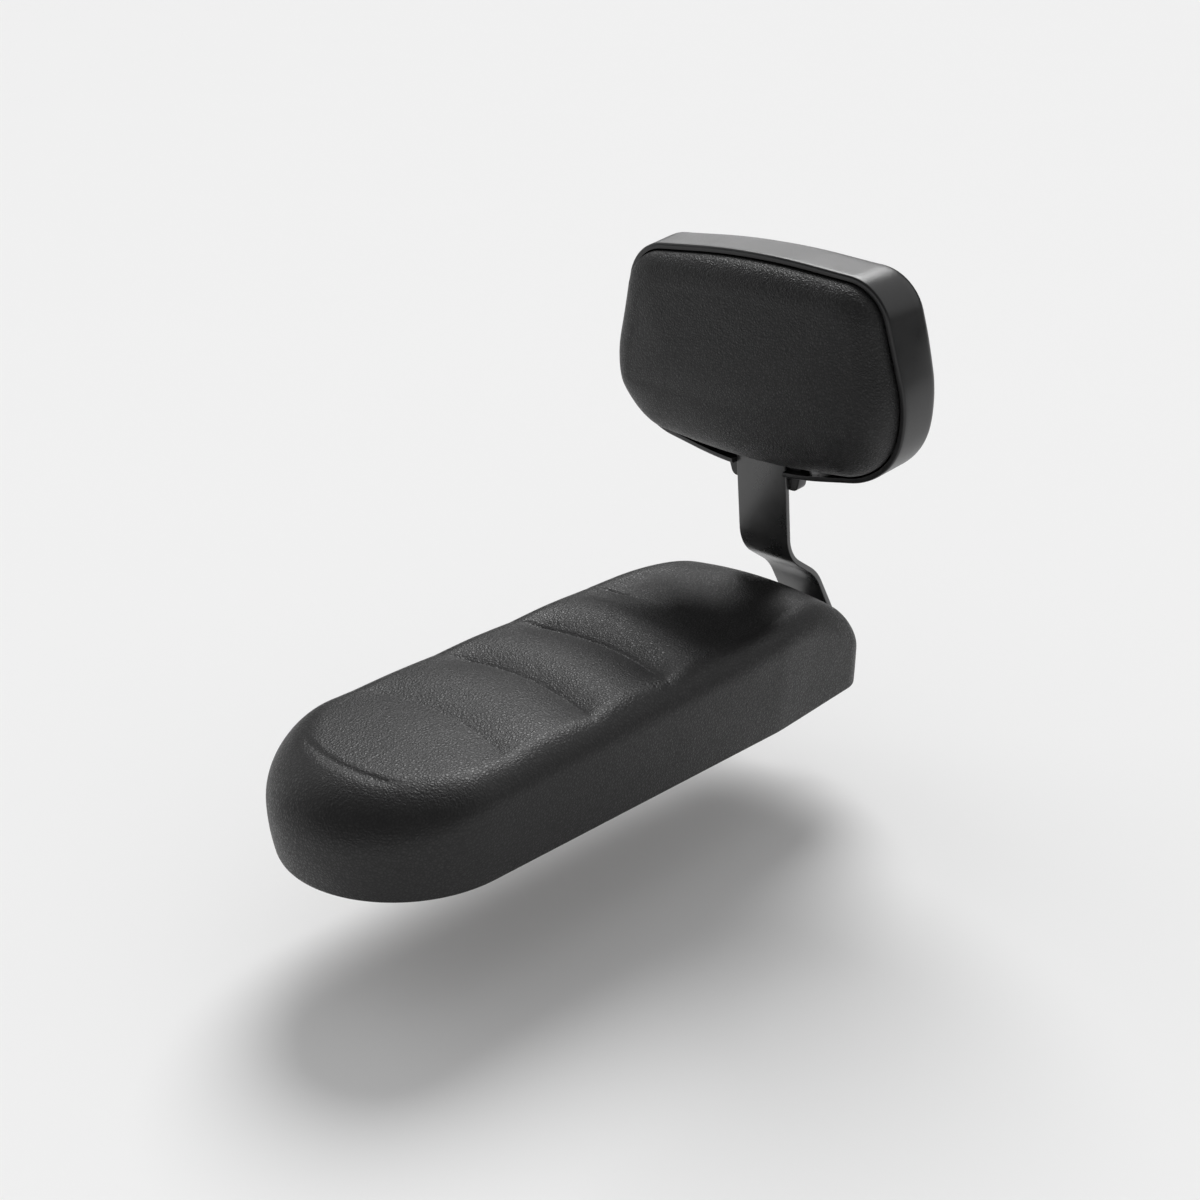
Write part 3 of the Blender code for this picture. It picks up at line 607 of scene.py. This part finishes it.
def drill(name, x, z, profile, material, segments=40):
    """A turned cutter or stud in the backrest: profile heights count from the origin to the rear."""
    place = BACK @ Matrix.Translation((x, 0.0, z)) @ Matrix.Rotation(-math.pi / 2, 4, "X")
    return turned(name, profile, material, place, segments)


def tower_outline(grow, top, radius, step=0.002):
    """The tower behind the bar, in X and height: it narrows downwards to the end below the housing."""
    wide = TOWER_X + grow
    narrow = TOWER_LOW_X + grow
    low = TOWER_LOW - grow
    corners = [(narrow, low, radius), (wide, 0.004, 0.010), (wide, top + grow, radius)]
    return rounded_outline(corners + [(-x, z, r) for x, z, r in corners[::-1]], step)


def upright_prism(name, outline, pairs, material):
    """A prism in the backrest: pairs hold (growth, depth), and the outline is in X and height."""
    rings = []
    normals = outline_normals(outline)
    for grow, depth in pairs:
        spot = outline + normals * grow
        rings.append(np.column_stack([spot[:, 0], np.full(len(spot), depth), spot[:, 1]]))
    return loft(name, rings, material, BACK)


def make_backrest_housing(material):
    """Tray-shaped rear housing: rolled rim, hollow tower for the bar, screw posts, recessed bolt pocket."""
    outline = housing_outline()
    rim = [(-0.002, RIM_FRONT, 0.0)]
    side_front = RIM_FRONT + RIM_EASE
    lip = arc_pairs((RIM_WIDTH - RIM_EASE, RIM_FRONT), (RIM_WIDTH, side_front), (RIM_WIDTH, RIM_FRONT), 5)
    rim += [(grow, depth, 0.0) for grow, depth in lip]
    side_depth = SHELL_REAR - 0.0100 - side_front
    for share in np.linspace(0.0, 1.0, 9)[1:-1]:
        rim.append((RIM_WIDTH, side_front + share * side_depth, SIDE_FLARE * share))
    corner_start, corner_end = (RIM_WIDTH, SHELL_REAR - 0.0090), (RIM_WIDTH - 0.0100, SHELL_REAR)
    corner = arc_pairs(corner_start, corner_end, (RIM_WIDTH, SHELL_REAR), 10)
    rim += [(grow, depth, SIDE_FLARE) for grow, depth in corner]
    shell = loft("backrest_housing", [backrest_ring(outline, *place) for place in rim], material, BACK)
    flare = SIDE_FLARE - 0.001
    cavity = [(0.0, RIM_FRONT - 0.01, 0.0), (0.0, 0.010, 0.0), (0.0, SHELL_REAR - 0.009, flare)]
    inside = arc_pairs((0.0, SHELL_REAR - 0.009), (-0.0060, SHELL_REAR - WALL_T), (0.0, SHELL_REAR - WALL_T), 6)
    cavity += [(grow, depth, flare) for grow, depth in inside[1:]]
    combine(shell, [loft("cut_cavity", [backrest_ring(outline, *place) for place in cavity], material, BACK)])

    inside_rear = SHELL_REAR - 0.001
    front, rear = TOWER_FRONT, TOWER_FRONT + TAB_T
    plan = tower_outline(0.0, TOWER_TOP, 0.005)
    pairs = [(-0.0012, front)] + arc_pairs((-0.0008, front), (0.0, front + 0.0008), (0.0, front), 4)
    pairs += arc_pairs((0.0, rear - 0.0012), (-0.0012, rear), (0.0, rear), 4)
    tools = [upright_prism("add_tower", plan, pairs, material)]
    root_x = TOWER_X - 0.0005
    root_low, root_top, root_r = 0.0015, TOWER_TOP - 0.0004, 0.004
    root_corners = [(-root_x, root_low), (root_x, root_low), (root_x, root_top), (-root_x, root_top)]
    root = rounded_outline([(x, z, root_r) for x, z in root_corners], 0.003)
    tools.append(upright_prism("add_tower_root", root, [(0.0, front + 0.002), (0.0, inside_rear)], material))
    post_front = back_box("backrest_board")[1][1] + GAP
    post = [(0.0, post_front), (0.0070, post_front), (0.0076, inside_rear), (0.0, inside_rear)]
    tools += [drill(f"add_post_{i}", x, z, post, material) for i, (x, z) in enumerate(SCREWS_XZ)]
    combine(shell, tools, "UNION")

    bore = [(0.0, -THROUGH), (0.0023, -THROUGH), (0.0023, 0.005), (0.0044, 0.005)]
    bore += [(0.0048, SHELL_REAR - 0.0010), (0.0060, SHELL_REAR + 0.0002), (0.0060, 0.05), (0.0, 0.05)]
    cuts = [drill(f"cut_screw_{i}", x, z, bore, material, 36) for i, (x, z) in enumerate(SCREWS_XZ)]
    plan = tower_outline(-WALL_T - 0.0004, TOWER_TOP, 0.003)
    floor, mouth = TOWER_FRONT + TOWER_FLOOR_T, SHELL_REAR
    pocket = arc_pairs((-0.0016, floor), (0.0, floor + 0.0016), (0.0, floor), 4)
    pocket += [(0.0, mouth - 0.0010), (0.0003, mouth - 0.0005), (0.0017, mouth + 0.0007), (0.0017, 0.06)]
    cuts.append(upright_prism("cut_pocket", plan, pocket, material))
    half = BAR_HALF + 0.0005
    notch_low = (-half, -0.02, -0.05)
    notch_high = (half, TOWER_FRONT + 0.0007, BAR_TOP + THROUGH)
    cuts.append(box("cut_notch", notch_low, notch_high, material, BACK))
    hole = [(0.0, -THROUGH), (0.0033, -THROUGH), (0.0033, THROUGH), (0.0, THROUGH)]
    cuts += [drill(f"cut_bolt_{i}", 0.0, z, hole, material) for i, z in enumerate(BACK_BOLTS_Z)]
    combine(shell, cuts)
    return finish_mesh(shell, material, 32.0)


def pad_rings(outline, grow, first_depth, drop, edge_steps, shares):
    """Rings over the pad's front: a round edge, then a crowned face that is fullest at its lower middle."""
    normals = outline_normals(outline)
    edge = outline + normals * grow
    lower = smoothstep(0.15, 0.85, -normals[:, 1])
    radius = PAD_EDGE_R + (PAD_LOWER_EDGE_R - PAD_EDGE_R) * lower + grow
    along = np.clip(outline[:, 0], -PAD_SPINE_HALF, PAD_SPINE_HALF)
    spine = np.column_stack([along, np.full(len(outline), PAD_SPINE_Z)])
    inward = spine - edge
    length = np.linalg.norm(inward, axis=1)
    stops = [(math.pi / 2 * step / edge_steps, 0.0) for step in range(edge_steps + 1)]
    stops += [(math.pi / 2, share) for share in shares]
    rings = []
    for angle, past in stops:
        reach = radius * (1 - math.cos(angle)) + (length - radius) * past
        spot = edge + inward / length[:, None] * reach[:, None]
        full = PAD_FULL + PAD_FULLER_BELOW * smoothstep(-0.135, -0.035, -spot[:, 1])
        crown = PAD_CROWN * (1 - (spot[:, 0] / 0.125) ** 2)
        depth = (full + crown) * math.sin(angle) * (1 - drop / full) + PAD_DOME * (1 - (1 - past) ** 2)
        rings.append(np.column_stack([spot[:, 0], first_depth - depth, spot[:, 1]]))
    return rings


def make_backrest_upholstery(material):
    """Upholstery over the pad's foam, wrapped round the board's edge and turned in behind it."""
    outline = rounded_outline(PAD_CORNERS, OUTLINE_STEP)
    side = RIM_FRONT - 0.001
    outer = -PAD_GAP
    inner = outer - PAD_SKIN_T
    turned_in = inner - 0.012
    rear = PAD_REAR + PAD_SKIN_T
    shares = np.linspace(0.0, PAD_COVERED, 36)[1:]
    rings = pad_rings(outline, inner, side, PAD_SKIN_T, 6, shares[6::7])[::-1]
    rings.append(backrest_ring(outline, inner, PAD_REAR))
    rings.append(backrest_ring(outline, turned_in, PAD_REAR))
    rings.append(backrest_ring(outline, turned_in, rear))
    wrap = arc_pairs((outer - 0.0008, rear), (outer, rear - 0.0008), (outer, rear), 4)
    rings += [backrest_ring(outline, *place) for place in wrap]
    rings += pad_rings(outline, outer, side, 0.0, 16, shares)
    return loft("backrest_upholstery", rings, material, BACK)


def make_backrest_core(material):
    """Foam between the upholstery and the board, a little smaller than the upholstery's inside."""
    outline = rounded_outline(PAD_CORNERS, 0.006)
    foot = back_box("backrest_board")[0][1] - GAP
    rings = pad_rings(outline, -0.0065, foot, 0.0072, 8, np.linspace(0.0, PAD_COVERED, 14)[1:])
    return loft("backrest_core", rings, material, BACK)


# Fasteners -----------------------------------------------------------------------------------------------

HEAD_R = 0.00525
HEAD_H = 0.0032
DOME_H = 0.0026
DOME_ANGLES = (30.0, 82.0)
SHANK_R = 0.0027
SOCKET_R = 0.0023
SOCKET_DEPTH = 0.0020
WASHER_R = 0.0075
WASHER_T = 0.0016
WASHER_HOLE_R = 0.0031


def bolt_place(name):
    """Matrix of a packed bolt: its head's outer face is at height 0 and its shank points up. Also its length."""
    if name.startswith("backrest"):
        low, high = back_box(name)
        centre = Vector(((low[0] + high[0]) / 2, high[1], (low[2] + high[2]) / 2))
        return BACK @ Matrix.Translation(centre) @ FORWARD, high[1] - low[1]
    low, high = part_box(name)
    return Matrix.Translation(((low.x + high.x) / 2, (low.y + high.y) / 2, low.z)), high.z - low.z


def make_bolt(node, name, material):
    """Button-head bolt with a hexagon socket."""
    place, length = bolt_place(node)
    dome = []
    for degrees in np.linspace(*DOME_ANGLES, 9):
        angle = math.radians(degrees)
        radius = HEAD_R * math.sin(angle) / math.sin(math.radians(DOME_ANGLES[1]))
        dome.append((radius, DOME_H * (1 - math.cos(angle)) * 1.02))
    foot = HEAD_H - 0.0003
    profile = [(0.0, dome[0][1]), *dome, (HEAD_R, foot), (HEAD_R - 0.0003, HEAD_H), (SHANK_R, HEAD_H)]
    profile += [(SHANK_R, length - 0.0006), (SHANK_R - 0.0006, length), (0.0, length)]
    bolt = turned(name, profile, material, place)
    hexagon = [(SOCKET_R * math.cos(math.pi / 3 * i), SOCKET_R * math.sin(math.pi / 3 * i)) for i in range(6)]
    depth = dome[0][1] + SOCKET_DEPTH
    socket = prism("cut_socket", np.array(hexagon), [(0.0, -0.004), (0.0, depth)], material, place)
    face = dome[0][1]
    cone = [(0.0, face - 0.004), (SOCKET_R + 0.0041, face - 0.004), (SOCKET_R - 0.0004, face + 0.0005)]
    cone = turned("cut_lead", cone + [(0.0, face + 0.0005)], material, place)
    combine(bolt, [socket, cone])
    return finish_mesh(bolt, material, 30.0)


def make_washer(node, name, material):
    """Flat washer with softened edges."""
    if node.startswith("backrest"):
        low, high = back_box(node)
        place = BACK @ Matrix.Translation((0.0, high[1], (low[2] + high[2]) / 2)) @ FORWARD
    else:
        low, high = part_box(node)
        place = Matrix.Translation((0.0, (low.y + high.y) / 2, low.z))
    ease = 0.00025
    profile = [(WASHER_HOLE_R, ease), (WASHER_HOLE_R + ease, 0.0), (WASHER_R - ease, 0.0), (WASHER_R, ease)]
    profile += [(radius, WASHER_T - height) for radius, height in profile[::-1]]
    return turned(name, profile + profile[:1], material, place)


def make_screw(node, name, material):
    """Pan-head wood screw with a cross recess, from its packed box."""
    low, high = back_box(node)
    centre = ((low[0] + high[0]) / 2, (low[2] + high[2]) / 2)
    top = high[1]
    seat = top - 0.0027
    profile = [(0.0, low[1]), (0.0004, low[1] + 0.0002), (0.0019, low[1] + 0.0028)]
    pitch, height = 0.0013, low[1] + 0.0028
    while height + pitch < seat - 0.002:
        profile += [(0.0014, height + 0.0004), (0.0020, height + 0.0008), (0.0014, height + 0.0012)]
        height += pitch
    profile += [(0.0016, seat), (0.0040, seat), (0.0040, seat + 0.0012)]
    profile += [(0.0036, seat + 0.0020), (0.0026, top - 0.0001), (0.0014, top), (0.0, top)]
    screw = drill(name, *centre, profile, material)
    arm, half = 0.0017, 0.0004
    quarter = np.array([(arm, -half), (arm, half), (half, half)])
    turns = [np.array(Matrix.Rotation(math.pi / 2 * i, 2)) for i in range(4)]
    cross = np.vstack([quarter @ turn.T for turn in turns]) + centre
    combine(screw, [upright_prism("cut_cross", cross, [(0.0, top - 0.0013), (0.0, top + 0.001)], material)])
    return finish_mesh(screw, material, 30.0)


# Materials -----------------------------------------------------------------------------------------------


class Finish:
    """A node material built up around one Principled shader, in the object's own metres."""

    def __init__(self, name, colour, roughness, metallic=0.0, specular=0.5):
        self.material = bpy.data.materials.new(name)
        self.material.use_nodes = True
        self.tree = self.material.node_tree
        self.shader = self.tree.nodes["Principled BSDF"]
        self.shader.inputs["Base Color"].default_value = (*colour, 1.0)
        self.shader.inputs["Roughness"].default_value = roughness
        self.shader.inputs["Metallic"].default_value = metallic
        self.shader.inputs["Specular IOR Level"].default_value = specular
        self.place = self.add("ShaderNodeTexCoord").outputs["Object"]

    def add(self, kind, **settings):
        node = self.tree.nodes.new(kind)
        for key, value in settings.items():
            if hasattr(node, key):
                setattr(node, key, value)
            else:
                self.feed(node.inputs[key], value)
        return node

    def feed(self, socket, value):
        if isinstance(value, bpy.types.NodeSocket):
            self.tree.links.new(value, socket)
        else:
            socket.default_value = value

    def noise(self, size, detail=3.0, rough=0.5, vector=None):
        """Noise between 0 and 1 whose features are about size across."""
        node = self.add("ShaderNodeTexNoise", Scale=1.0 / size, Detail=detail, Roughness=rough)
        self.feed(node.inputs["Vector"], vector or self.place)
        return node.outputs["Fac"]

    def warp(self, size, amount):
        """The place, pushed about by noise, so that cells lose their even shape."""
        node = self.add("ShaderNodeTexNoise", Scale=1.0 / size, Detail=2.0)
        self.feed(node.inputs["Vector"], self.place)
        centred = self.vector("SUBTRACT", node.outputs["Color"], (0.5, 0.5, 0.5))
        return self.vector("ADD", self.place, self.vector("SCALE", centred, None, amount))

    def vector(self, operation, first, second, scale=None):
        node = self.add("ShaderNodeVectorMath", operation=operation)
        self.feed(node.inputs[0], first)
        if second is not None:
            self.feed(node.inputs[1], second)
        if scale is not None:
            node.inputs["Scale"].default_value = scale
        return node.outputs[0]

    def cells(self, size, vector, feature="F1"):
        node = self.add("ShaderNodeTexVoronoi", feature=feature, Scale=1.0 / size)
        self.feed(node.inputs["Vector"], vector)
        return node.outputs["Distance"]

    def scaled(self, value, from_low, from_high, to_low, to_high):
        node = self.add("ShaderNodeMapRange")
        self.feed(node.inputs["Value"], value)
        for key, number in zip(("From Min", "From Max", "To Min", "To Max"), (from_low, from_high, to_low, to_high)):
            node.inputs[key].default_value = number
        return node.outputs["Result"]

    def math(self, operation, first, second):
        node = self.add("ShaderNodeMath", operation=operation)
        self.feed(node.inputs[0], first)
        self.feed(node.inputs[1], second)
        return node.outputs[0]

    def colour(self, factor, first, second):
        node = self.add("ShaderNodeMix", data_type="RGBA")
        self.feed(node.inputs[0], factor)
        colours = [socket for socket in node.inputs if socket.type == "RGBA"]
        colours[0].default_value = (*first, 1.0)
        colours[1].default_value = (*second, 1.0)
        result = next(socket for socket in node.outputs if socket.type == "RGBA")
        self.feed(self.shader.inputs["Base Color"], result)

    def roughness(self, value):
        self.feed(self.shader.inputs["Roughness"], value)

    def bump(self, *layers):
        """Stacks (height, strength, distance) layers, the first one innermost."""
        normal = None
        for height, strength, distance in layers:
            node = self.add("ShaderNodeBump", Strength=strength, Distance=distance)
            self.feed(node.inputs["Height"], height)
            if normal:
                self.feed(node.inputs["Normal"], normal)
            normal = node.outputs["Normal"]
        self.feed(self.shader.inputs["Normal"], normal)


def leather(name, dark, light, grain, rough, depth):
    """Embossed leather: pebbles of uneven size with sharp valleys, over fine pores and a slow unevenness."""
    finish = Finish(name, dark, rough, specular=0.41)
    warped = finish.warp(grain * 1.6, grain * 0.9)
    domes = finish.scaled(finish.cells(grain, warped, "DISTANCE_TO_EDGE"), 0.0, 0.32, 0.0, 1.0)
    lumps = finish.noise(grain * 1.1, 2.0, 0.5, warped)
    pores = finish.noise(grain * 0.35, 3.0, 0.6)
    slow = finish.noise(0.035, 3.0)
    finish.bump((slow, 0.5, 0.0010), (lumps, 1.0, depth * 2.2), (domes, 1.0, depth), (pores, 1.0, depth * 0.3))
    finish.colour(finish.math("MULTIPLY", domes, finish.scaled(slow, 0.35, 0.65, 0.6, 1.0)), dark, light)
    valley = finish.scaled(domes, 0.0, 1.0, rough + 0.20, rough - 0.03)
    finish.roughness(finish.math("ADD", valley, finish.scaled(slow, 0.3, 0.7, -0.03, 0.03)))
    return finish.material


def moulded_plastic(name):
    """Spark-eroded black plastic: very fine even grain, slightly shinier where it is handled."""
    dark, light = (0.010, 0.010, 0.0105), (0.015, 0.015, 0.0155)
    finish = Finish(name, dark, 0.34)
    grain = finish.noise(0.0006, 4.0, 0.65)
    slow = finish.noise(0.030, 3.0)
    finish.bump((grain, 0.35, 0.00012))
    finish.colour(finish.scaled(slow, 0.35, 0.65, 0.0, 1.0), dark, light)
    handled = finish.scaled(slow, 0.3, 0.7, -0.03, 0.03)
    finish.roughness(finish.math("ADD", finish.scaled(grain, 0.3, 0.7, 0.28, 0.38), handled))
    return finish.material


def powder_coat(name):
    """Satin powder coat on steel: a shallow orange-peel with a finer grain."""
    dark, light = (0.020, 0.020, 0.0205), (0.028, 0.028, 0.0285)
    finish = Finish(name, dark, 0.30, specular=1.0)
    peel = finish.noise(0.0016, 2.0)
    grain = finish.noise(0.0004, 3.0)
    slow = finish.noise(0.025, 3.0)
    finish.bump((peel, 0.20, 0.00010), (grain, 0.15, 0.00004))
    finish.colour(finish.scaled(slow, 0.35, 0.65, 0.0, 1.0), dark, light)
    finish.roughness(finish.scaled(slow, 0.3, 0.7, 0.26, 0.34))
    return finish.material


def plated_steel(name, dark, light, rough):
    """Plated steel: a crystalline mottling and fine drawn lines."""
    finish = Finish(name, dark, rough, 1.0)
    stretched = finish.vector("MULTIPLY", finish.place, (1.0, 0.15, 1.0))
    lines = finish.noise(0.0003, 3.0, 0.6, stretched)
    mottle = finish.cells(0.0022, finish.warp(0.003, 0.0015))
    finish.bump((lines, 0.25, 0.00003))
    finish.colour(finish.scaled(mottle, 0.0, 0.8, 0.0, 1.0), dark, light)
    finish.roughness(finish.scaled(lines, 0.3, 0.7, rough - 0.06, rough + 0.08))
    return finish.material


def plywood(name):
    """Black-stained birch plywood: long grain along the board, and the plies' bands on its edges."""
    finish = Finish(name, (0.050, 0.043, 0.038), 0.62)
    stretched = finish.vector("MULTIPLY", finish.place, (1.0, 0.07, 1.0))
    grain = finish.noise(0.0022, 5.0, 0.6, stretched)
    split = finish.add("ShaderNodeSeparateXYZ", Vector=finish.place)
    wave = finish.math("SINE", finish.math("MULTIPLY", split.outputs["Z"], 2 * math.pi / 0.0028), 0.0)
    mixed = finish.math("ADD", finish.scaled(wave, -1.0, 1.0, 0.0, 0.5), finish.scaled(grain, 0.3, 0.7, 0.0, 0.5))
    finish.colour(mixed, (0.034, 0.029, 0.026), (0.066, 0.057, 0.050))
    finish.bump((grain, 0.3, 0.0002))
    finish.roughness(finish.scaled(grain, 0.3, 0.7, 0.55, 0.75))
    return finish.material


def open_foam(name):
    """Polyurethane foam with small open cells."""
    finish = Finish(name, (0.56, 0.53, 0.44), 0.9)
    cells = finish.cells(0.0011, finish.warp(0.002, 0.0008))
    slow = finish.noise(0.02, 3.0)
    finish.bump((cells, 0.8, 0.0006))
    shade = finish.math("MULTIPLY", cells, finish.scaled(slow, 0.3, 0.7, 0.8, 1.2))
    finish.colour(shade, (0.42, 0.39, 0.31), (0.64, 0.61, 0.52))
    finish.roughness(finish.scaled(cells, 0.0, 1.0, 0.85, 0.98))
    return finish.material


# Floor, light and camera ---------------------------------------------------------------------------------


def make_floor():
    """A very wide pale floor below the seat, which hangs over it as it does in a studio cut-out."""
    bpy.ops.mesh.primitive_plane_add(size=60.0, location=(0.0, 0.0, FLOOR_Z))
    floor = bpy.context.object
    floor.name = "studio_floor"
    finish = Finish("studio_floor", (0.86, 0.86, 0.86), 0.9, specular=0.1)
    paper = finish.noise(0.004, 4.0)
    finish.bump((paper, 0.05, 0.0002))
    finish.colour(finish.noise(0.5), (0.86, 0.86, 0.86), (0.865, 0.865, 0.865))
    floor.data.materials.append(finish.material)


def direction(azimuth, elevation):
    """Unit vector towards a place seen at an azimuth (0 is in front of the seat) and an elevation, in degrees."""
    a, e = math.radians(azimuth), math.radians(elevation)
    return Vector((math.sin(a) * math.cos(e), -math.cos(a) * math.cos(e), math.sin(e)))


def add_softbox(name, azimuth, elevation, angle, strength, gloss_only=False, only=()):
    """A far softbox that is angle degrees wide, so that it lights the whole floor evenly."""
    sun = bpy.data.lights.new(name, "SUN")
    sun.angle = math.radians(angle)
    sun.energy = strength
    lamp = bpy.data.objects.new(name, sun)
    bpy.context.scene.collection.objects.link(lamp)
    lamp.matrix_world = direction(azimuth, elevation).to_track_quat("Z", "Y").to_matrix().to_4x4()
    lamp.visible_diffuse = not gloss_only
    if only:
        lamp.light_linking.receiver_collection = bpy.data.collections.new(name + "_on")
        for obj in only:
            lamp.light_linking.receiver_collection.objects.link(obj)


def light_studio(hard_pieces):
    """White surroundings, softboxes behind and beside the seat, and a strip that only the hard pieces catch."""
    scene = bpy.context.scene
    scene.view_settings.view_transform = "Standard"
    world = bpy.data.worlds.new("studio")
    world.use_nodes = True
    background = world.node_tree.nodes["Background"]
    background.inputs["Color"].default_value = (1.0, 1.0, 1.0, 1.0)
    seen = world.node_tree.nodes.new("ShaderNodeLightPath").outputs["Is Camera Ray"]
    strength = world.node_tree.nodes.new("ShaderNodeMath")
    strength.operation = "MULTIPLY_ADD"
    strength.inputs[1].default_value = SKY_EXTRA
    strength.inputs[2].default_value = WORLD_STRENGTH
    world.node_tree.links.new(seen, strength.inputs[0])
    world.node_tree.links.new(strength.outputs[0], background.inputs["Strength"])
    scene.world = world
    world.cycles_visibility.glossy = False
    add_softbox("key_softbox", 218.0, 50.0, 32.0, 2.08)
    add_softbox("left_softbox", 285.0, 24.0, 50.0, 0.44)
    add_softbox("right_softbox", 142.0, 42.0, 60.0, 0.62, gloss_only=True)
    add_softbox("overhead_fill", 0.0, 90.0, 150.0, 0.40, gloss_only=True)
    add_softbox("rear_strip", 222.0, 14.0, 18.0, 0.12, gloss_only=True, only=hard_pieces)


def place_camera():
    """The photograph's view: its angle, its distance and its small offset from the object's middle."""
    away = direction(CAMERA_AZIMUTH, CAMERA_ELEVATION)
    right = Vector((math.cos(math.radians(CAMERA_AZIMUTH)), math.sin(math.radians(CAMERA_AZIMUTH)), 0.0))
    up = away.cross(right)
    centre = (Vector(CAD_BOX[0]) + Vector(CAD_BOX[1])) / 2
    place = centre + away * CAMERA_DISTANCE + right * CAMERA_RIGHT + up * CAMERA_UP
    camera = bpy.data.objects.new("camera", bpy.data.cameras.new("camera"))
    bpy.context.scene.collection.objects.link(camera)
    turn = Matrix((right, up, away)).transposed().to_4x4()
    camera.matrix_world = Matrix.Translation(place) @ turn
    camera.data.lens = 50.0
    camera.data.sensor_width = 36.0
    bpy.context.scene.camera = camera


# The whole -----------------------------------------------------------------------------------------------


def dress(node, material):
    """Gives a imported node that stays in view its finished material."""
    for slot in frame["nodes"][node].material_slots:
        slot.material = material


def add_piece(piece, body, node):
    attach(piece, body)
    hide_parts(node)


def main():
    seat_leather = leather("seat_leather", (0.0094, 0.0092, 0.0094), (0.0188, 0.0185, 0.0188), 0.0021, 0.36, 0.00013)
    pad_leather = leather("pad_leather", (0.0092, 0.0092, 0.0095), (0.0172, 0.0172, 0.0175), 0.0020, 0.37, 0.00023)
    plastic = moulded_plastic("shell_plastic")
    paint = powder_coat("bar_paint")
    zinc = plated_steel("zinc_steel", (0.52, 0.53, 0.54), (0.68, 0.68, 0.66), 0.34)
    black = plated_steel("black_steel", (0.045, 0.045, 0.048), (0.07, 0.07, 0.073), 0.40)
    wood = plywood("plywood")
    foam = open_foam("foam")

    add_piece(make_seat_upholstery(seat_leather), "seat", "seat_skin")
    add_piece(make_seat_core(foam), "seat", "seat_foam")
    bar = make_bar(paint)
    add_piece(bar, "bracket", "backrest_bar")
    housing = make_backrest_housing(plastic)
    add_piece(housing, "backrest", "backrest_shell")
    add_piece(make_backrest_upholstery(pad_leather), "backrest", "backrest_skin")
    add_piece(make_backrest_core(foam), "backrest", "backrest_foam")
    for body, stem in (("seat", "bracket"), ("backrest", "backrest")):
        for i in ("1", "2"):
            bolt = make_bolt(f"{stem}_bolt_{i}", f"{stem}_button_bolt_{i}", black)
            add_piece(bolt, body, f"{stem}_bolt_{i}")
            washer = make_washer(f"{stem}_washer_{i}", f"{stem}_flat_washer_{i}", black)
            add_piece(washer, body, f"{stem}_washer_{i}")
    for i in range(1, 5):
        screw = make_screw(f"board_screw_{i}", f"pad_screw_{i}", zinc)
        add_piece(screw, "backrest", f"board_screw_{i}")
        dress(f"rack_tnut_{i}", zinc)
    for node in ("tapping_plate", "clamp_plate"):
        dress(node, zinc)
    for node in ("base_board", "backrest_board"):
        dress(node, wood)

    make_floor()
    light_studio((bar, housing))
    place_camera()


main()
